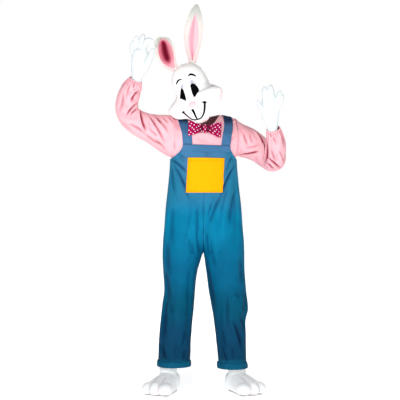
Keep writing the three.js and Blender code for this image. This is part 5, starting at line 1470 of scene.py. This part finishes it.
for side, side_name in SIDES:
    out = np.concatenate([np.linspace(10.5, 78, 44), 78 + 7 * np.sin(np.linspace(0, 1, 10)[1:] * np.pi / 2)])
    angle = np.arange(96) / 96 * 2 * np.pi
    a, o = np.meshgrid(angle, out)
    tall = np.where(np.sin(a) > 0, wing["high"](o), wing["low"](o))
    height = np.sin(a) * tall
    front = np.sign(np.cos(a)) * np.abs(np.cos(a)) ** 0.75
    pleats = sum(depth * np.exp(-(((height / tall - at - drift * (o / 85)) / width) ** 2))
                 for at, drift, width, depth in zip(*PLEATS.values()))
    pinch = np.exp(-((o - 10) / 34))
    y = -wing["deep"](o) * front * (1.15 - 0.15 * pinch) + np.sign(front) * 1.3 * pleats * pinch
    y = y + 2.0 * np.sin(height / 14 + side) * smooth(o, 40, 80)
    rings = bow_place(points(side * o, y, height))
    uv = np.stack([o * side + 3.0 + 3.5 * np.sin(height / 8 + 2 * side), height + 3.5 * np.sin(o / 9 + side)
                   + 200 * (front < 0)], -1)
    # Painted shade in the pleats and the gathers beside the knot.
    gather_shade = np.clip(pleats * pinch / 4.5 + 0.5 * np.exp(-((o - 10) / 12)), 0, 1)[..., None]
    colours = lerp(np.ones(3), linear(BOW_GATHER_SHADE), gather_shade)
    wing_obj = finish_piece(tube_mesh(f"bow_{side_name}_satin", rings, BOW_MAGENTA, uv, colours),
                            f"bow_{side_name}")

u, z = np.meshgrid(np.arange(56) / 56 * 2 * np.pi, np.linspace(-20, 20, 34))
round_off = np.sqrt(np.clip(1 - (z / 21.5) ** 2, 0, 1)) ** 0.5
fold = 1 + 0.05 * np.sin(z / 3.1 + 0.8 * np.sin(u)) * (np.sin(u) < 0)
rings = bow_place(points(10.3 * np.cos(u) * round_off, 14 * np.sin(u) * round_off * fold, z))
knot = finish_piece(tube_mesh("bow_knot_satin", rings, BOW_MAGENTA, np.stack([u * 12 + 9, z + 5], -1)),
                    "bow_knot")

# ---------------------------------------------------------------- gloves
# White knitted gloves, smooth and close, their wrists tucked into the sleeves. The right hand is raised
# beside the tip of the bent ear, a little way off it. The left hand is open and waves.

# A palm has rows of x, y, z, half width and half depth. A digit has rows of x, y, z and radius, thumb first.
GLOVES = {
    "left": dict(
        palm=[(350, -174, 1328, 26, 26), (345.2, -188.7, 1356, 27, 26), (341, -196, 1382, 35, 25),
              (335, -200, 1412, 44, 24), (334, -202, 1446, 46, 22), (336, -202, 1480, 42, 19)],
        digits=[[(322, -203, 1404, 18), (298, -208, 1440, 15), (280, -212, 1466, 13), (273, -214, 1482, 10)],
                [(312, -202, 1462, 17), (308, -204, 1500, 17), (306, -206, 1532, 16), (306, -207, 1550, 12)],
                [(338, -202, 1466, 17), (340, -204, 1506, 17), (337, -206, 1542, 16), (335, -207, 1558, 12)],
                [(358, -202, 1458, 15), (368, -204, 1488, 15), (377, -206, 1514, 14), (381, -207, 1530, 11)],
                [(362, -204, 1440, 14), (379, -207, 1470, 13), (388, -209, 1494, 12),
                 (392, -210, 1511, 10)]]),
    "right": dict(
        palm=[(-350, -143, 1574, 27, 27), (-340, -149, 1606, 28, 26), (-333, -152, 1634, 34, 26),
              (-326, -154, 1668, 42, 25), (-321, -156, 1704, 44, 24), (-318, -156, 1738, 40, 22)],
        digits=[[(-304, -160, 1654, 24), (-282, -168, 1688, 20), (-265, -174, 1722, 15),
                 (-256, -178, 1746, 12)],
                [(-306, -156, 1740, 16), (-298, -163, 1774, 15), (-280, -171, 1797, 14),
                 (-264, -176, 1796, 11)],
                [(-318, -154, 1744, 16), (-316, -154, 1782, 16), (-309, -156, 1808, 15),
                 (-305, -160, 1821, 11)],
                [(-340, -152, 1736, 15), (-345, -150, 1772, 15), (-342, -152, 1800, 14),
                 (-339, -155, 1814, 10)],
                [(-350, -150, 1716, 13), (-359, -147, 1746, 13), (-362, -147, 1772, 12),
                 (-361, -149, 1788, 9)]]),
}


def soft_limb(rows, side_way, sides=24, per=7, round_end=True):
    """Closed skin points and faces round a smooth line of (x, y, z, wide, deep) rows, with round ends."""
    rows = np.array([r if len(r) == 5 else (*r, r[3]) for r in rows], float)
    at = np.arange(len(rows), dtype=float)
    t = np.linspace(0, len(rows) - 1, per * (len(rows) - 1) + 1)
    x, y, z, wide, deep = (curve(dict(at=at, c=rows[:, k]), "at", "c")(t) for k in range(5))
    mid = points(x, y, z)
    if round_end:
        cap = np.array([0.35, 0.65, 0.85, 0.97])
        narrow = np.sqrt(1 - cap * cap)
        for end, before in ((0, 1), (-1, -2)):
            along = unit(mid[end] - mid[before])
            size = min(wide[end], deep[end])
            extra = (mid[end] + along * size * cap[:, None], wide[end] * narrow, deep[end] * narrow)
            pairs = zip(extra, (mid, wide, deep))
            if end == 0:
                mid, wide, deep = (np.concatenate([new[::-1], old]) for new, old in pairs)
            else:
                mid, wide, deep = (np.concatenate([old, new]) for new, old in pairs)
    along = unit(np.gradient(mid, axis=0))
    across = unit(np.array(side_way, float) - along * (along @ np.array(side_way, float))[:, None])
    through = np.cross(along, across)
    angle = np.arange(sides) / sides * 2 * np.pi
    rings = (mid[:, None] + across[:, None] * (wide[:, None] * np.cos(angle))[..., None]
             + through[:, None] * (deep[:, None] * np.sin(angle))[..., None])
    n = len(mid)
    verts = np.concatenate([rings.reshape(-1, 3), [mid[0], mid[-1]]])
    faces = grid_faces(n, sides, True)
    for i in range(sides):
        k = (i + 1) % sides
        faces += [(k, i, n * sides), ((n - 1) * sides + i, (n - 1) * sides + k, n * sides + 1)]
    return verts, outward(verts, faces)


def fused(name, parts, material, voxel_mm, smooth_steps):
    """One soft skin over overlapping closed parts, remeshed and relaxed."""
    verts, faces, count = [], [], 0
    for v, f in parts:
        verts.append(v)
        faces += [tuple(k + count for k in face) for face in f]
        count += len(v)
    obj = mesh_object(name, np.concatenate(verts), faces, material)
    mod = obj.modifiers.new("fuse", "REMESH")
    mod.mode = "VOXEL"
    mod.voxel_size = voxel_mm / 1000
    mod.use_smooth_shade = True
    relax = obj.modifiers.new("relax", "SMOOTH")
    relax.factor = 0.5
    relax.iterations = smooth_steps
    return applied(obj)


def applied(obj):
    """The piece with its modifiers made part of the mesh."""
    graph = bpy.context.evaluated_depsgraph_get()
    mesh = bpy.data.meshes.new_from_object(obj.evaluated_get(graph))
    old = obj.data
    obj.modifiers.clear()
    obj.data = mesh
    bpy.data.meshes.remove(old)
    return obj


def mesh_points(obj):
    co = np.empty(len(obj.data.vertices) * 3)
    obj.data.vertices.foreach_get("co", co)
    return co.reshape(-1, 3) * 1000 + SOLES


def set_points(obj, mm):
    obj.data.vertices.foreach_set("co", ((mm - SOLES) / 1000).ravel())
    obj.data.update()


def remove(obj, context, pick):
    """Take the parts that pick(bmesh) gives out of the mesh."""
    bm = bmesh.new()
    bm.from_mesh(obj.data)
    bmesh.ops.delete(bm, geom=pick(bm), context=context)
    bm.to_mesh(obj.data)
    bm.free()


def opened(obj, keep, thickness_mm):
    """The skin cut open where keep(points) is false, and given a wall inwards."""
    kept = keep(mesh_points(obj))
    remove(obj, "VERTS", lambda bm: [vert for vert, stays in zip(bm.verts, kept) if not stays])
    wall = obj.modifiers.new("wall", "SOLIDIFY")
    wall.thickness = thickness_mm / 1000
    wall.offset = -1
    wall.use_rim = True
    applied(obj)
    remove(obj, "EDGES", lambda bm: [edge for edge in bm.edges if not edge.link_faces])
    remove(obj, "VERTS", lambda bm: [vert for vert in bm.verts if not vert.link_edges])
    obj.data.polygons.foreach_set("use_smooth", [True] * len(obj.data.polygons))


def knit(name, code, sheen):
    """A fine smooth knit, seen as a soft matte white with a tiny grain."""
    material, tree, output = new_material(name)
    where = add(tree, "ShaderNodeTexCoord")
    noise = add(tree, "ShaderNodeTexNoise", {"Vector": where.outputs["Object"]}, Scale=700.0, Detail=2.0)
    bump = add(tree, "ShaderNodeBump", {"Height": noise.outputs["Fac"]}, Strength=0.2, Distance=0.0004)
    shader = add(tree, "ShaderNodeBsdfPrincipled", {"Normal": bump.outputs[0]}, Base_Color=(*linear(code), 1),
                 Roughness=0.85, Sheen_Weight=sheen)
    tree.links.new(shader.outputs[0], output.inputs[0])
    return material


GLOVE_WALL = 1.5
GLOVE_EDGE = 1.5  # mm from the palm's first row to the open edge
GLOVE_SKIN = dict(voxel_mm=2.8, smooth_steps=7)
# Knitted nylon: a close, even white, with a grain too fine to read as stitches.
GLOVE_WHITE = knit("knitted_nylon_white", "#D6DEE1", 0.2)
for side_name, glove in GLOVES.items():
    parts = [soft_limb(glove["palm"], (1, 0, 0), 28)] + [soft_limb(d, (0, 1, 0), 20) for d in glove["digits"]]
    obj = fused(f"glove_{side_name}_knit", parts, GLOVE_WHITE, **GLOVE_SKIN)
    first, second = (np.array(glove["palm"][i][:3], float) for i in (0, 1))
    along = unit(second - first)
    opened(obj, lambda p, first=first, along=along: (p - first) @ along > GLOVE_EDGE, GLOVE_WALL)
    finish_piece(obj, f"glove_{side_name}")
    long = np.ptp(mesh_points(obj)[:, 2]) / 1000

# ---------------------------------------------------------------- foot covers
# White plush rabbit feet with three broad toes, worn over the shoes: soft padded tops on flat soles, with
# an ankle that goes up inside each trouser leg.
FOOT_SECTIONS = table(
    "y half_wide half_high middle",
    (62, 20, 34, 36), (52, 42, 50, 42), (24, 52, 62, 46), (-22, 56, 62, 42), (-70, 68, 54, 38),
    (-118, 76, 42, 33), (-146, 66, 32, 30))
TOES = table(
    "x y half_wide half_long high",
    (-49, -136, 33, 44, 34), (0, -148, 33, 44, 37), (49, -138, 33, 44, 34))
ROUND = np.sin(np.radians([-84, -60, -30, 0, 30, 60, 84]))
FEET = {
    "right": dict(x=-180, y=0, turn=-24, ankle=[(-184, 8, 92), (-184, 10, 130), (-187, 12, 176)]),
    "left": dict(x=173, y=4, turn=30, ankle=[(174, 10, 92), (174, 12, 130), (174.6, 14, 176)]),
}
ANKLE_HALF = 46
ANKLE_TOP_Z = 176
ANKLE_ENDS = (50, 184)  # its skin starts inside the foot and ends above the cut
FOOT_WALL = 4.0
FOOT_SKIN = dict(voxel_mm=4.2, smooth_steps=9)
GROOVES = (-25, 25)  # sideways places of the grooves between the toes
# Short polyester plush: bright white, with painted shade between the toes, and darker in its lowest 15 mm, by
# the floor.
PLUSH_WHITE = painted("polyester_plush_white", 0.85, 0.0, 0.3, 0.3)
PLUSH = linear("#F8FBFC")
PLUSH_GROOVE_SHADE = linear("#C8BCC2")  # painted shade between the toes
LOW_EDGE_DARK = linear("#7C6A6A")


def toe_groove(local, x, width):
    """1 along a groove between two toes, which nears the middle of the foot on its way up, and 0 off it."""
    return np.exp(-(((local[:, 0] - x * (1 - 0.25 * smooth(local[:, 1], -150, -30))) / width) ** 2))


def above_floor(obj, mm):
    """Give the piece these points, with none below the floor."""
    mm[:, 2] = np.maximum(mm[:, 2], 0.0)
    set_points(obj, mm)


for side_name, foot in FEET.items():
    spin = turned("z", foot["turn"])

    def placed(part, foot=foot, spin=spin):
        verts, faces = part
        return verts @ spin.T + np.array([foot["x"], foot["y"], 0]), faces

    sections = [(0, y, mid, wide, high) for y, wide, high, mid in zip(*FOOT_SECTIONS.values())]
    parts = [placed(soft_limb(sections, (1, 0, 0), 32, 5))]
    for x, y, wide, long, high in zip(*TOES.values()):
        rows = [(x, y - s * long, high * 0.94, *(half * math.sqrt(1 - s * s) for half in (wide, high)))
                for s in ROUND]
        parts.append(placed(soft_limb(rows, (1, 0, 0), 24, 5, False)))
    low, _, top = foot["ankle"]
    places = [(*low[:2], ANKLE_ENDS[0]), *foot["ankle"], (*top[:2], ANKLE_ENDS[1])]
    ankle = [(*place, ANKLE_HALF, ANKLE_HALF) for place in places]
    parts.append(soft_limb(ankle, (1, 0, 0), 32, 5, False))
    obj = fused(f"foot_{side_name}_plush", parts, PLUSH_WHITE, **FOOT_SKIN)
    mm = mesh_points(obj)
    local = (mm - np.array([foot["x"], foot["y"], 0])) @ spin
    for x in GROOVES:
        reach = smooth(-local[:, 1], 20, 100) * smooth(mm[:, 2], 12, 40)
        mm[:, 2] -= 3.5 * toe_groove(local, x, 7) * reach
    above_floor(obj, mm)
    opened(obj, lambda p: p[:, 2] < ANKLE_TOP_Z, FOOT_WALL)
    mm = mesh_points(obj)
    above_floor(obj, mm)
    local = (mm - np.array([foot["x"], foot["y"], 0])) @ spin
    grooves = sum(toe_groove(local, x, 5) for x in GROOVES)
    # Painted shade between the toes.
    deep = 0.7 * np.clip(grooves, 0, 1) * smooth(-local[:, 1], 50, 110)
    # Darker in the lowest 15 mm, by the floor.
    near_sole = 0.9 * (1 - smooth(mm[:, 2], 4, 15))
    colours = lerp(lerp(PLUSH, PLUSH_GROOVE_SHADE, deep[:, None]), LOW_EDGE_DARK, near_sole[:, None])
    paint_points(obj.data, colours)
    finish_piece(obj, f"foot_{side_name}")
